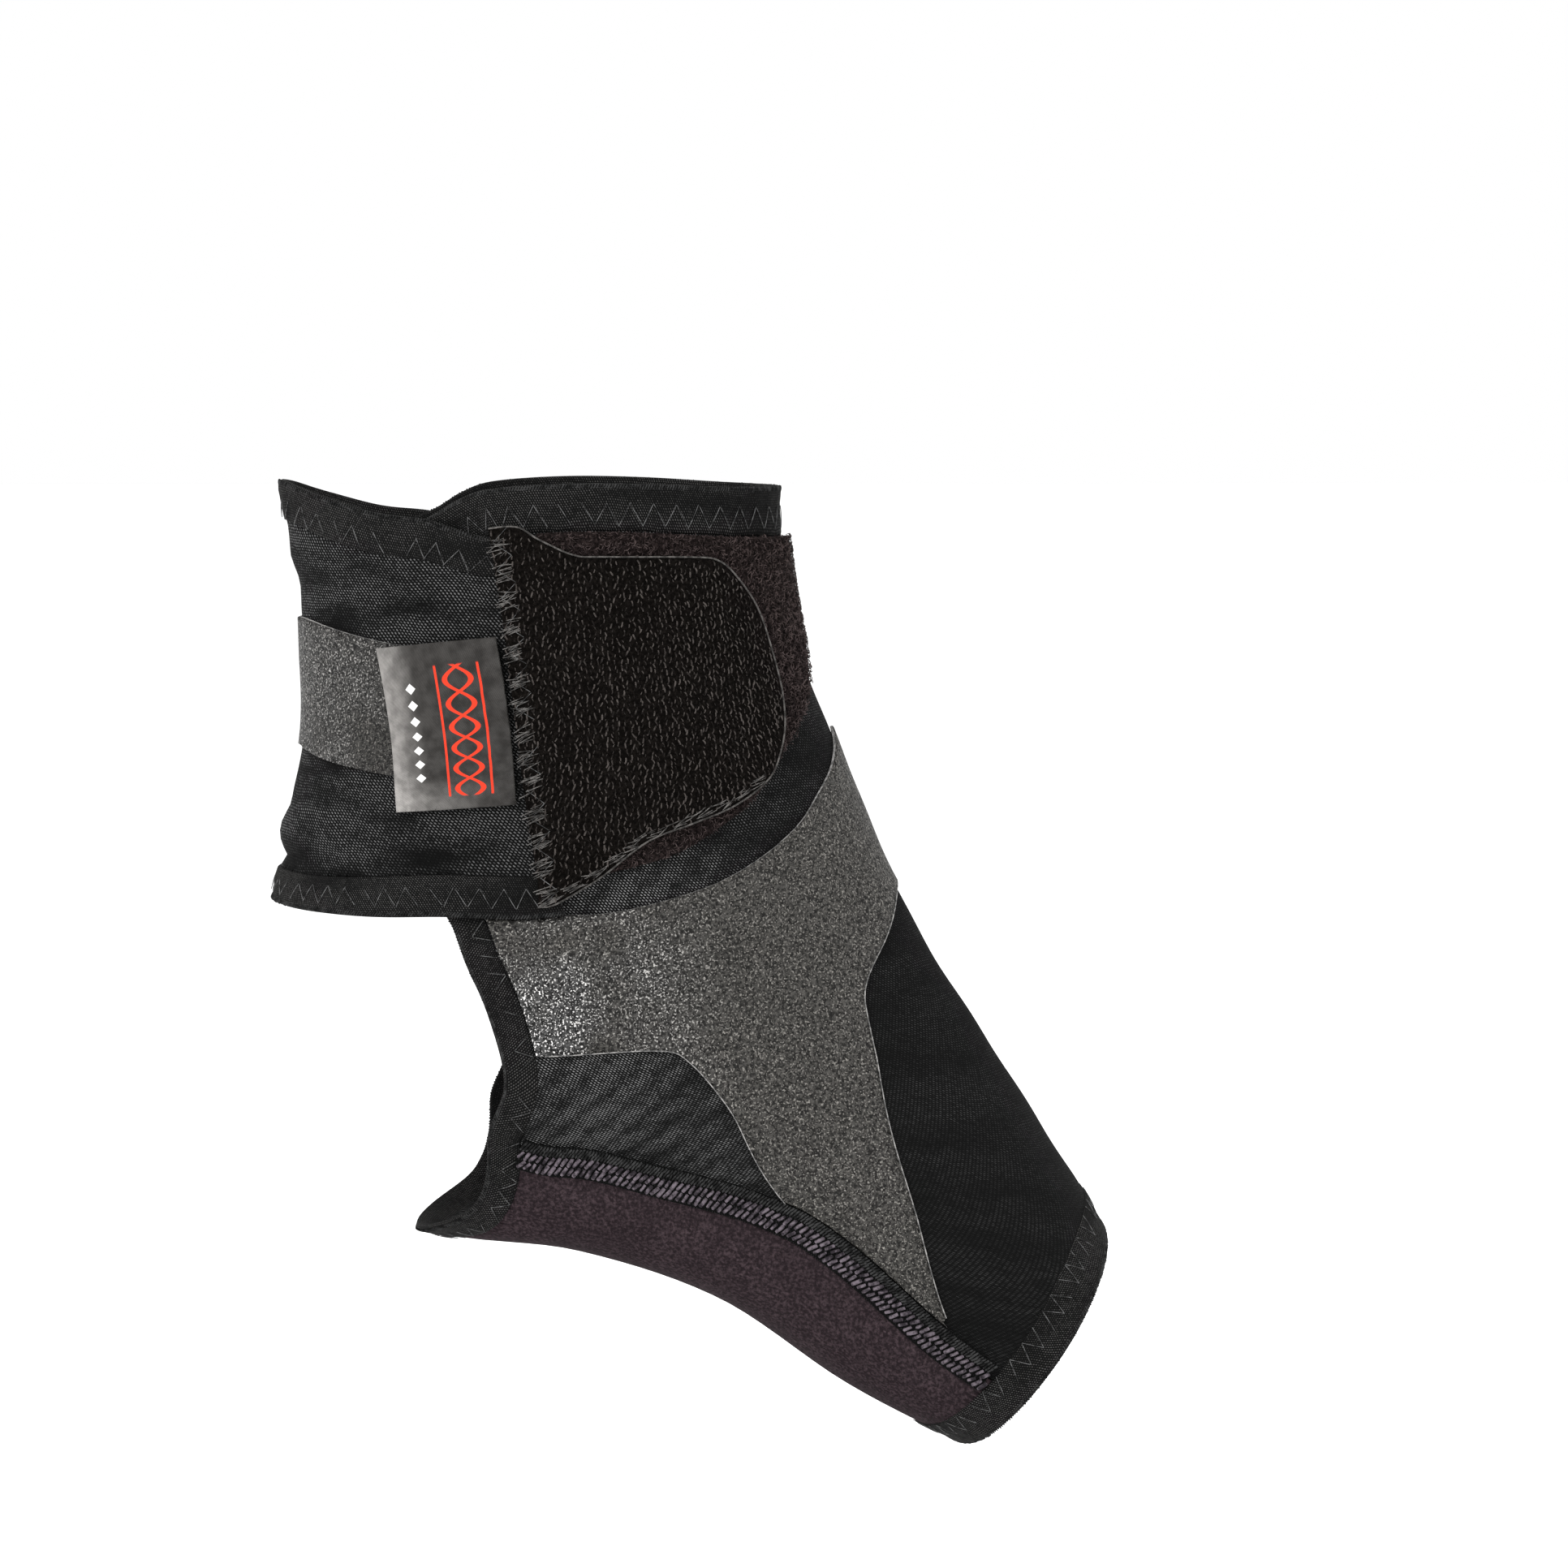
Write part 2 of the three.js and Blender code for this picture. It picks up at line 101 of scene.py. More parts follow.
REACH, HEIGHT, HALF_WIDTH = 163.0, 189.0, 42.0
SECTIONS = np.array(
    [
        # front_x, front_z, back_x, back_z, half_width, egg, front_full, back_full, sweep
        [0.265, 0.248, -0.3, 0.258, 0.738, 0.0, 0.02, -0.16, 0.0],
        [0.266, 0.181, -0.298, 0.181, 0.714, 0.0, 0.02, -0.17, 0.0],
        [0.28, 0.08, -0.28, 0.076, 0.702, 0.02, 0.02, -0.19, 0.0],
        [0.306, 0.004, -0.279, -0.038, 0.726, 0.05, 0.0, -0.2, 0.0],
        [0.338, -0.063, -0.3, -0.13, 0.774, 0.08, -0.04, -0.18, 0.0],
        [0.364, -0.122, -0.316, -0.214, 0.81, 0.12, -0.06, -0.12, 0.0],
        [0.401, -0.193, -0.378, -0.332, 0.821, 0.1, -0.08, 0.0, 0.0],
        [0.446, -0.266, -0.339, -0.485, 0.81, 0.05, -0.1, 0.1, 0.0],
        [0.495, -0.333, -0.156, -0.548, 0.81, 0.05, -0.1, 0.14, 0.02],
        [0.539, -0.392, 0.019, -0.565, 0.845, 0.1, -0.08, 0.18, 0.05],
        [0.584, -0.454, 0.191, -0.612, 0.893, 0.14, -0.04, 0.2, 0.08],
        [0.625, -0.51, 0.343, -0.7, 0.94, 0.14, 0.0, 0.2, 0.1],
        [0.658, -0.56, 0.479, -0.763, 0.976, 0.12, 0.02, 0.2, 0.12],
    ]
)

# Outlines on the foot. The first number counts the sections from the top, the second goes round
# the leg in degrees: 0 in front, 90 at the inner side, 180 at the back.
TOE_ROW = 11.93
TOP_EDGE = [(0.52, 0), (0.5, 38), (0.45, 63), (0.45, 83), (0.54, 101), (0.7, 109), (0.95, 118)]
TOP_EDGE += [(1.1, 135), (1.15, 180)]
HEEL_HOLE = [(4.88, 180), (4.9, 150), (5.0, 128), (5.15, 114), (5.31, 107), (5.75, 101.5)]
HEEL_HOLE += [(6.28, 98.7), (6.82, 101), (7.21, 110.5), (7.49, 118), (7.73, 128), (7.88, 140)]
HEEL_HOLE += [(7.94, 160), (7.96, 180)]
SOLE_SEAM = [(6.9, 112), (7.53, 110), (7.87, 104.5), (8.62, 100), (9.27, 96), (9.68, 95.2)]
SOLE_SEAM += [(10.68, 98), (11.73, 101), (12.6, 103)]
STRAP_TOP = [(1.17, 84), (1.13, 101.5), (1.04, 109), (0.93, 117), (0.86, 130), (0.68, 147)]
STRAP_TOP += [(0.52, 165), (0.48, 180)]
STRAP_BOTTOM = [(5.52, 74), (5.48, 89), (5.4, 98), (5.31, 108), (5.24, 123), (5.14, 143)]
STRAP_BOTTOM += [(5.04, 168), (5.02, 180)]
STRAP_END = [(0.3, 95), (2.94, 90), (4.5, 85), (6.2, 79)]
STRAP_FILM_TOP = [(2.3, 104), (2.16, 130), (1.96, 163), (1.94, 180)]
STRAP_FILM_BOTTOM = [(3.75, 104), (3.53, 126), (3.18, 169), (3.16, 180)]
FILM_TOP = [(5.2, 101), (5.3, 92), (5.53, 81), (5.57, 69), (5.44, 53.4), (5.0, 36.7)]
FILM_TOP += [(4.47, 25.3), (3.9, 10), (3.6, 0)]
FILM_RIGHT = [(6.05, 0), (6.2, 10), (6.61, 23), (7.05, 36), (7.6, 43.5), (8.97, 58.7), (9.9, 71)]
FILM_RIGHT += [(10.82, 89.5)]
FILM_BELOW = [(10.9, 94), (10.0, 95), (9.2, 95)]
FILM_LEFT = [(9.2, 91), (8.88, 88), (7.82, 77.5), (7.18, 74.1), (6.93, 78), (6.66, 96)]
LOOP_TOP = [(1.24, 90.5), (1.0, 84), (1.0, 30), (1.06, 3)]
LOOP_EDGE = [(1.06, 3), (1.9, -2), (2.47, 5), (3.02, 16.8), (3.55, 29.4), (3.91, 38)]
LOOP_EDGE += [(4.5, 47.8), (4.97, 61.2), (5.09, 72.3), (5.1, 80)]
LOOP_BACK = [(5.1, 80), (4.5, 83), (2.94, 88), (1.24, 90.5)]
TAB_TOP = [(1.04, 101), (1.02, 94.7), (1.16, 90), (1.32, 82.6), (1.34, 76), (1.36, 54.8)]
TAB_TOP += [(1.4, 46.7), (1.57, 41), (1.89, 35.2), (2.32, 33), (2.92, 32.8), (3.41, 35)]
TAB_TOP += [(3.84, 39.2), (4.15, 43.5), (4.46, 52), (4.63, 61.4), (4.76, 69.4), (5.09, 77.5)]
TAB_TOP += [(5.22, 81.4), (5.35, 86.2), (5.34, 88.8)]
TAB_BACK = [(5.34, 88.8), (2.94, 97.8), (1.04, 101)]
LABEL_OUTLINE = [(2.21, 132.5), (2.1, 101.6), (4.01, 95.9), (3.98, 122.3)]

# Thicknesses, and the heights above the skin that they lead to, in millimetres.
CLOTH, BOUND, GAP = 1.2, 1.5, 0.3
ON_SLEEVE = CLOTH + GAP
ON_HEM = BOUND + GAP
STRAP, PRINT, PILE = 1.1, 0.6, 1.7
ON_STRAP = ON_HEM + STRAP + GAP
ON_STRAP_HEM = ON_HEM + BOUND + GAP
ON_STRAP_FILM = ON_STRAP + PRINT + GAP
# Widths of the hems and of the seam, in millimetres.
TOP_HEM, STRAP_TOP_HEM, STRAP_BOTTOM_HEM, TOE_HEM, BINDING, SEAM_BAND = 8.0, 7.0, 8.5, 8.0, 6.5, 6.0

# Every point of the cloth is a pair (angle, row); arrays of them have the shape (n, 2).


def skin(plan):
    """The points of the skin under plan points, in millimetres."""
    angle, row = np.radians(plan[..., 0]), plan[..., 1]
    last = len(SECTIONS) - 1
    i = np.clip(np.floor(row).astype(int), 0, last - 1)
    t = (row - i)[..., None]
    ends = [2 * SECTIONS[0] - SECTIONS[1]], [2 * SECTIONS[-1] - SECTIONS[-2]]
    table = np.vstack([ends[0], SECTIONS, ends[1]])
    a, b, c, d = table[i], table[i + 1], table[i + 2], table[i + 3]
    cube = 3 * b - a - 3 * c + d
    q = 0.5 * (2 * b + (c - a) * t + (2 * a - 5 * b + 4 * c - d) * t**2 + cube * t**3)
    front_x, front_z, back_x, back_z, half, egg, front_full, back_full, sweep = np.moveaxis(q, -1, 0)
    across = np.stack([(front_x - back_x) * REACH / 2, (front_z - back_z) * HEIGHT / 2], -1)
    centre = np.stack([(front_x + back_x) * REACH / 2, (front_z + back_z) * HEIGHT / 2], -1)
    cos, sin = np.cos(angle), np.sin(angle)
    full = (front_full * (1 + cos) + back_full * (1 - cos)) / 2
    side = HALF_WIDTH * half * sin * (1 + cos**2 * full)
    length = np.hypot(across[..., 0], across[..., 1])
    along = np.stack([across[..., 1], -across[..., 0]], -1) / length[..., None]
    p = centre + across * (cos - egg * sin**2)[..., None] + along * (sweep * side)[..., None]
    return np.stack([p[..., 0], -side, p[..., 1]], -1)


def slopes(plan):
    """Millimetres of skin per degree and per row, as vectors."""
    turn, drop = np.array([0.5, 0]), np.array([0, 0.02])
    return skin(plan + turn) - skin(plan - turn), (skin(plan + drop) - skin(plan - drop)) / 0.04


def outward(plan):
    normal = np.cross(*slopes(plan))
    return normal / np.linalg.norm(normal, axis=-1, keepdims=True)


def above(plan, height):
    """Points a height above the skin, in metres."""
    height = np.broadcast_to(height, plan.shape[:-1])
    return (skin(plan) + outward(plan) * height[..., None]) * MM


def line(points, each=6):
    """A smooth line through a list of (row, angle)."""
    p = np.array(points, float)[:, ::-1]
    p = np.vstack([p[:1], p, p[-1:]])
    t = np.arange(each)[:, None] / each
    runs = []
    for a, b, c, d in zip(p, p[1:], p[2:], p[3:]):
        go, stop = (c - a) / 2, (d - b) / 2
        runs.append(b + go * t + (3 * (c - b) - 2 * go - stop) * t**2 + (go + stop - 2 * (c - b)) * t**3)
    return np.vstack([*runs, p[-1:]])


def mirrored(plan, about=0):
    return np.stack([2 * about - plan[:, 0], plan[:, 1]], -1)[::-1]


def round_front(half):
    return np.vstack([mirrored(half)[:-1], half])


def round_back(half):
    return np.vstack([half, mirrored(half, 180)[1:]])


def other_side(plan):
    return np.stack([360 - plan[:, 0], plan[:, 1]], -1)


def lengths(plan):
    """The distance along a line on the skin, in millimetres."""
    steps = np.linalg.norm(np.diff(skin(plan), axis=0), axis=1)
    return np.concatenate([[0], np.cumsum(steps)])


def even(plan, step):
    """The same line with its points at equal distances of about step millimetres."""
    s = lengths(plan)
    n = max(int(round(s[-1] / step)), 2)
    at = np.linspace(0, s[-1], n + 1)
    return np.stack([np.interp(at, s, plan[:, 0]), np.interp(at, s, plan[:, 1])], -1)


def moved(plan, width, closed=False):
    """A line moved sideways over the skin by a width in millimetres, to the left of its run, with
    the angle to the right and the row upwards. A closed line may go once round the leg."""
    if closed:
        turns = np.array([np.round((plan[-1, 0] - plan[0, 0]) / 360) * 360, 0])
        before, after = np.vstack([plan[-1:] - turns, plan[:-1]]), np.vstack([plan[1:], plan[:1] + turns])
    else:
        before, after = np.vstack([plan[:1], plan[:-1]]), np.vstack([plan[1:], plan[-1:]])
    round_, down = slopes(plan)
    run = round_ * (after - before)[:, :1] + down * (after - before)[:, 1:]
    left = np.cross(outward(plan), run)
    width = np.reshape(np.broadcast_to(width, len(plan)), (-1, 1))
    left *= width / np.linalg.norm(left, axis=1, keepdims=True)
    a, b, d = (round_**2).sum(1), (round_ * down).sum(1), (down**2).sum(1)
    u, v = (left * round_).sum(1), (left * down).sum(1)
    det = a * d - b * b
    return plan + np.stack([(u * d - v * b) / det, (v * a - u * b) / det], -1)


# How far each point of the skin lies from the front line and from the top, along the cloth.
ANGLE_STEP, ROW_STEP = 2.0, 0.1
GRID_ANGLE, GRID_ROW = np.arange(-200, 382, ANGLE_STEP), np.arange(-0.2, 12.9, ROW_STEP)
GRID = skin(np.stack(np.meshgrid(GRID_ANGLE, GRID_ROW), -1))
ROUND = np.cumsum(np.linalg.norm(np.diff(GRID, axis=1, prepend=GRID[:, :1]), axis=2), axis=1)
ROUND -= ROUND[:, GRID_ANGLE == 0]
DOWN = np.cumsum(np.linalg.norm(np.diff(GRID, axis=0, prepend=GRID[:1]), axis=2), axis=0)


def cloth_place(plan):
    """The distances round and down the cloth, in millimetres."""
    x, y = (plan[:, 0] - GRID_ANGLE[0]) / ANGLE_STEP, (plan[:, 1] - GRID_ROW[0]) / ROW_STEP
    i = np.clip(x.astype(int), 0, len(GRID_ANGLE) - 2)
    j = np.clip(y.astype(int), 0, len(GRID_ROW) - 2)
    fx, fy = x - i, y - j
    found = []
    for table in (ROUND, DOWN):
        upper = table[j, i] * (1 - fx) + table[j, i + 1] * fx
        lower = table[j + 1, i] * (1 - fx) + table[j + 1, i + 1] * fx
        found.append(upper * (1 - fy) + lower * fy)
    return np.stack(found, -1)


def within(plan, outline):
    """Whether plan points lie inside a closed outline."""
    x, y = plan[:, 0][:, None], plan[:, 1][:, None]
    ax, ay = outline.T
    bx, by = np.roll(outline, -1, 0).T
    crosses = (ay > y) != (by > y)
    with np.errstate(divide="ignore", invalid="ignore"):
        left = x < (bx - ax) * (y - ay) / (by - ay) + ax
    return (crosses & left).sum(1) % 2 == 1


AT_ONCE = 2000  # how many points one step of a distance search takes


def distance_to(plan, lines):
    """The distance from plan points to the nearest of some lines, in millimetres."""
    nearest = np.full(len(plan), 1e9)
    round_, down = slopes(plan)
    scale = np.stack([np.linalg.norm(round_, axis=1), np.linalg.norm(down, axis=1)], -1)[:, None]
    for one in lines:
        a, b = one[:-1], one[1:]
        for start in range(0, len(plan), AT_ONCE):
            part = slice(start, start + AT_ONCE)
            run = (b - a)[None] * scale[part]
            to = (plan[part][:, None] - a[None]) * scale[part]
            t = np.clip((to * run).sum(2) / np.maximum((run**2).sum(2), 1e-12), 0, 1)
            gap = np.linalg.norm(to - run * t[..., None], axis=2).min(1)
            nearest[part] = np.minimum(nearest[part], gap)
    return nearest


def bumps(plan, places):
    """The sum of soft bumps: row, angle, half lengths along the row and the angle, height."""
    total = np.zeros(plan.shape[:-1])
    for row, angle, rows, angles, height in places:
        for turn in (-360, 0, 360):
            r = ((plan[..., 1] - row) / rows) ** 2 + ((plan[..., 0] - angle - turn) / angles) ** 2
            total += height * np.exp(-r)
    return total


STRAP_FOLDS = [
    (4.12, 180, 0.22, 34, 1.1),
    (4.46, 180, 0.1, 30, -0.9),
    (4.43, 150, 0.07, 22, -0.6),
    (4.75, 180, 0.2, 30, 0.7),
    (3.85, 172, 0.12, 20, -0.35),
    (1.62, 180, 0.16, 26, -0.5),
    (1.35, 176, 0.12, 20, 0.35),
    (0.6, 180, 0.3, 36, 0.9),
    (1.05, 158, 0.1, 18, -0.4),
    (2.3, 178, 0.3, 24, 0.3),
]
SLEEVE_FOLDS = [
    (7.5, 92, 0.25, 4, 0.3),
    (7.9, 84, 0.3, 3.5, 0.25),
    (8.4, 90, 0.3, 3, -0.25),
    (10.2, 30, 0.9, 8, 0.3),
    (9.0, -30, 0.9, 10, 0.3),
]


def strap_folds(plan):
    return bumps(plan, STRAP_FOLDS)


def sleeve_folds(plan):
    return bumps(plan, SLEEVE_FOLDS) + 0.12 * np.sin(plan[..., 1] * 4.1 + np.radians(plan[..., 0] * 2))


# node trees


class Wire:
    """A socket of a node tree that takes part in Python sums."""

    def __init__(self, tree, socket):
        self.tree, self.socket = tree, socket

    def math(self, operation, *values, clamp=False):
        values = dict(enumerate((self, *values)))
        return self.tree.add("ShaderNodeMath", {"operation": operation, "use_clamp": clamp}, values)

    def __add__(self, other):
        return self.math("ADD", other)

    def __sub__(self, other):
        return self.math("SUBTRACT", other)

    def __mul__(self, other):
        return self.math("MULTIPLY", other)

    def __truediv__(self, other):
        return self.math("DIVIDE", other)

    def __rsub__(self, other):
        return (self * -1) + other

    def __neg__(self):
        return self * -1

    def __abs__(self):
        return self.math("ABSOLUTE")

    __radd__, __rmul__ = __add__, __mul__

    def squared(self):
        return self * self

    def floor(self):
        return self.math("FLOOR")

    def fraction(self):
        return self.math("FRACT")

    def limited(self):
        return self.math("ADD", 0, clamp=True)

    def sine(self):
        return self.math("SINE")

    def smooth(self, low, high):
        """0 below low and 1 above high, softly between."""
        settings = {"interpolation_type": "SMOOTHSTEP"}
        values = {"Value": self, "From Min": low, "From Max": high}
        return self.tree.add("ShaderNodeMapRange", settings, values)


class Tree:
    """A node tree, with one way to add any node to it."""

    def __init__(self, tree):
        self.tree = tree

    def add(self, kind, settings=None, values=None, output=0):
        node = self.tree.nodes.new(kind)
        for name, value in (settings or {}).items():
            setattr(node, name, value)
        for name, value in (values or {}).items():
            if isinstance(value, Wire):
                self.tree.links.new(value.socket, node.inputs[name])
            else:
                node.inputs[name].default_value = value
        return Wire(self, node.outputs[output]) if len(node.outputs) else None

    def other(self, wire, output):
        """Another output of the node that a wire comes from."""
        return Wire(self, wire.socket.node.outputs[output])


class Finish(Tree):
    """The material of one kind of cloth, film or thread."""

    def __init__(self, name, **constant):
        self.material = bpy.data.materials.new(name)
        self.material.use_nodes = True
        super().__init__(self.material.node_tree)
        self.shader = self.tree.nodes["Principled BSDF"]
        for socket, value in constant.items():
            self.shader.inputs[socket.replace("_", " ").title().replace("Ior", "IOR")].default_value = value

    def cloth(self):
        """The distances round and down the cloth, in millimetres."""
        place = self.add("ShaderNodeSeparateXYZ", None, {0: self.add("ShaderNodeUVMap", {"uv_map": "cloth"})})
        return place * 1000, self.other(place, 1) * 1000

    def at_object(self):
        return self.add("ShaderNodeTexCoord", None, None, "Object")

    def vector(self, x, y):
        return self.add("ShaderNodeCombineXYZ", None, {0: x, 1: y})

    def noise(self, place, scale, detail=2.0, roughness=0.5):
        values = {"Vector": place, "Scale": scale, "Detail": detail, "Roughness": roughness}
        return self.add("ShaderNodeTexNoise", None, values)

    def mix(self, factor, first, second):
        first, second = (c if isinstance(c, Wire) else (*c, 1) for c in (first, second))
        return self.add("ShaderNodeMix", {"data_type": "RGBA"}, {0: factor, 6: first, 7: second}, 2)

    def wear(self, color=None, roughness=None, height=None, depth=0.2, strength=1.0):
        """Ties what varies over the surface to the shader. depth is in millimetres."""
        if color is not None:
            self.tree.links.new(color.socket, self.shader.inputs["Base Color"])
        if roughness is not None:
            self.tree.links.new(roughness.socket, self.shader.inputs["Roughness"])
        if height is not None:
            values = {"Strength": strength, "Distance": depth * MM, "Height": height}
            bump = self.add("ShaderNodeBump", None, values)
            self.tree.links.new(bump.socket, self.shader.inputs["Normal"])
        return self.material


def grey(level, warm=0.0):
    return (level * (1 + warm), level, level * (1 - warm))


def knit(name, wale, course, dark, light, lean=0.35, depth=0.18, painted_sheen=0.5, toe=1.0, ribs=0.0):
    """Warp knit: rows of short leaning stitches, light on a dark ground, under a painted sheen.
    patch is the strength of the painted sheen's lighter and darker patches, ribs that of the
    painted light and shade of slanting ribs where the cloth is drawn, and toe how light the
    stitches are in front, against those at the heel, as painted shade on the front."""
    f = Finish(name, roughness=0.8, specular_ior_level=0.03)
    x, y = f.cloth()
    wave = f.noise(f.vector(x, y), 0.11, 2.0) - 0.5
    x, y = x + wave * 0.9, y + wave * 1.4
    rows = y / course
    columns = x / wale + rows.floor() * 0.5
    across, down = columns.fraction() - 0.5, rows.fraction() - 0.5
    stitch = 1 - ((across + down * lean) / 0.3).squared() - (down / 0.46).squared()
    stitch = stitch.smooth(0.0, 0.75)
    tone = f.noise(f.vector(columns.floor() * 7.3, rows.floor() * 3.7), 1.0, 0.0).smooth(0.25, 0.75)
    # painted sheen: broad slanting patches of lighter and darker stitches stand in for the shine and shade of
    # folds
    broad = f.noise(f.vector(x * 0.35 + y * 0.5, y * 1.1 - x * 0.25), 0.085, 3.0, 0.55).smooth(0.32, 0.68)
    shaded = 1 - painted_sheen + broad * 2 * painted_sheen
    if ribs:
        # painted shade: towards the front the stitches darken to toe of their light, and the painted light
        # and shade of the ribs fades out there
        forward = f.add("ShaderNodeSeparateXYZ", None, {0: f.at_object()}).smooth(0.008, 0.062)
        painted_rib_shading = ((y * 0.74 - x * 0.67 + wave * 3) / 4.3 * 2 * math.pi).sine()
        shaded = shaded * (1 + painted_rib_shading * ribs * (1 - forward)) * (1 - forward * (1 - toe))
    level = (stitch * (tone * 0.85 + 0.25) * shaded).limited()
    return f.wear(f.mix(level, dark, light), None, stitch, depth)


def warm_grey(level):
    return (level, level * 0.953, level * 0.875)


def film(name, tone):
    """Printed grip film: a warm grey skin of coarse grain with painted glints, glossier towards the
    heel and lower down, where a painted highlight brightens its glints. tone is how light the
    matt film is."""
    f = Finish(name, roughness=0.5, specular_ior_level=0.12)
    place = f.at_object()
    grain = f.noise(place, 1500, 2.0, 0.65).smooth(0.36, 0.66)
    # painted glints: bright specks of the grain are painted into the colour, and raised in the bump
    glint = f.noise(place, 2700, 1.0, 0.5).smooth(0.54, 0.7)
    away = f.add("ShaderNodeSeparateXYZ", None, {0: place})
    # painted highlight with real gloss: a glare in clouds towards the heel, stronger lower down, that
    # brightens the glints and lowers the roughness
    low = (-0.03 - f.other(away, 2)).smooth(0.0, 0.02)
    cloud = f.noise(place, 55, 2.0).smooth(0.33, 0.58)
    painted_glare_and_gloss = (0.038 - away).smooth(0.0, 0.045) * cloud * (low * 0.75 + 0.25)
    bed = f.mix(grain, warm_grey(0.006 * tone), warm_grey(0.052 * tone))
    matt = f.mix(glint * 0.85, bed, warm_grey(0.24 * tone))
    # painted highlight: the colour under the glare, a darker bed with glints near white
    painted_highlight_colour = f.mix(glint, f.mix(grain, grey(0.003), grey(0.055)), grey(0.85, 0.02))
    return f.wear(f.mix(painted_glare_and_gloss, matt, painted_highlight_colour), 0.62 - grain * 0.2 - painted_glare_and_gloss * 0.15, grain + glint, 0.22, 0.9)


def pile(name, dark, light, depth=0.5):
    """A soft felted surface."""
    f = Finish(name, roughness=0.95, specular_ior_level=0.02)
    place = f.at_object()
    fluff = f.noise(place, 1500, 4.0, 0.7)
    broad = f.noise(place, 90, 2.0)
    color = f.mix((fluff.smooth(0.4, 0.7) * (broad + 0.4)).limited(), dark, light)
    return f.wear(color, None, fluff, depth, 0.9)


def thread(name, dark, light):
    """Sewing or tufting yarn, each piece a little lighter or darker."""
    f = Finish(name, roughness=0.7, specular_ior_level=0.04)
    place = f.at_object()
    tone = f.noise(place, 700, 2.0, 0.7)
    ply = f.noise(place, 5000, 1.0)
    color = f.mix((tone.smooth(0.36, 0.66) * 0.85 + ply * 0.15).limited(), dark, light)
    return f.wear(color, None, ply, 0.05, 0.5)


# The label's drawing, in millimetres: where the braid's middle lies, half its width, the pitch and
# the swing of its strands, and where the lozenges lie and their pitch.
BRAID_MIDDLE, BRAID_HALF, BRAID_PITCH, BRAID_SWING = 16.8, 4.3, 8.4, 2.6
LOZENGE_MIDDLE, LOZENGE_PITCH = 6.6, 2.9


def satin(name):
    """The woven label: glossy grey satin with a red braid and a column of white lozenges."""
    f = Finish(name, roughness=0.4, specular_ior_level=0.09)
    x, y = f.cloth()
    weave = 1 - abs(((x * 1.6 + y) / 0.42).fraction() - 0.5) * 2
    float_thread = ((x - y * 1.6) / 0.3).fraction()
    tone = f.noise(f.vector(x, y), 0.35, 3.0).smooth(0.3, 0.7)
    # painted highlight: the satin is lit along its back edge and along its bottom towards the back; dull is
    # its shaded colour and lit its lit one
    left, low = (9.0 - x).smooth(0, 9), (y - 24.0).smooth(0, 6) * (24.0 - x).smooth(0, 18)
    shine = (left * 0.7 + low * 0.33).limited() * (tone * 0.5 + 0.65) + tone * 0.08
    dull = f.mix(weave * 0.6 + float_thread * 0.4, (0.0065, 0.006, 0.0055), (0.026, 0.0238, 0.022))
    lit = f.mix(weave * 0.6 + float_thread * 0.4, (0.1, 0.095, 0.09), (0.4, 0.383, 0.366))
    ground = f.mix(shine, dull, lit)
    across = x - BRAID_MIDDLE
    swing = (y / BRAID_PITCH * 2 * math.pi).sine() * BRAID_SWING
    inside = (y - 3.6).smooth(0, 0.4) * (29.0 - y).smooth(0, 0.4)
    strands = (0.62 - abs(across - swing)).smooth(0, 0.18) + (0.62 - abs(across + swing)).smooth(0, 0.18)
    edges = (0.3 - abs(abs(across) - BRAID_HALF)).smooth(0, 0.12)
    red = ((strands + edges) * inside).limited()
    cell = (y / LOZENGE_PITCH).fraction() - 0.5
    lozenge = (0.72 - abs(x - LOZENGE_MIDDLE) / 1.7 - abs(cell) * 2.1).smooth(0, 0.12)
    white = lozenge * (y - 5.5).smooth(0, 0.2) * (26.4 - y).smooth(0, 0.2)
    color = f.mix(red, ground, (0.6, 0.035, 0.014))
    color = f.mix(white, color, (0.72, 0.71, 0.7))
    return f.wear(color, 0.42 + weave * 0.12 + red * 0.12, weave + red * 0.5, 0.06, 0.6)


BLACK = grey(0.0035)
# painted light and shade: every knit has patches of painted sheen, and the sleeve's stitches also darken
# towards the front under painted light and shade of slanting ribs
sleeve_knit = knit("sleeve_knit", 0.66, 0.5, BLACK, grey(0.17), painted_sheen=0.6, toe=0.12, ribs=0.5)
strap_knit = knit("strap_knit", 0.73, 0.53, grey(0.0025), grey(0.102), painted_sheen=0.95)
hem_knit = knit("hem_knit", 0.5, 0.42, grey(0.0035), grey(0.051, 0.03), 0.3, 0.14, 0.7)
sole_knit = pile("sole_knit", (0.0118, 0.0085, 0.0098), (0.045, 0.0318, 0.036), 0.08)
lining = knit("lining_knit", 0.7, 0.7, BLACK, grey(0.07), 0.0, 0.1)
grip_film = film("grip_film", 0.95)
strap_print = film("strap_print", 0.6)
film_edge = thread("film_edge", grey(0.06), grey(0.3, 0.03))
loop_pile = pile("loop_pile", (0.005, 0.0038, 0.0036), (0.032, 0.0235, 0.0225))
hook_pile = pile("hook_pile", (0.002, 0.0016, 0.0014), (0.008, 0.0066, 0.0058))
tuft_yarn = thread("tuft_yarn", (0.0035, 0.0028, 0.0025), (0.064, 0.056, 0.0515))
fuzz_yarn = thread("fuzz_yarn", (0.005, 0.0035, 0.0034), (0.078, 0.059, 0.057))
edge_yarn = thread("edge_yarn", grey(0.02, 0.05), grey(0.09, 0.06))
fan_yarn = thread("fan_yarn", grey(0.02, 0.04), grey(0.13, 0.05))
hem_yarn = thread("hem_yarn", grey(0.012), grey(0.115))
rib_yarn = thread("rib_yarn", grey(0.005), grey(0.035))
seam_yarn = thread("seam_yarn", (0.009, 0.0075, 0.0092), (0.128, 0.108, 0.125))
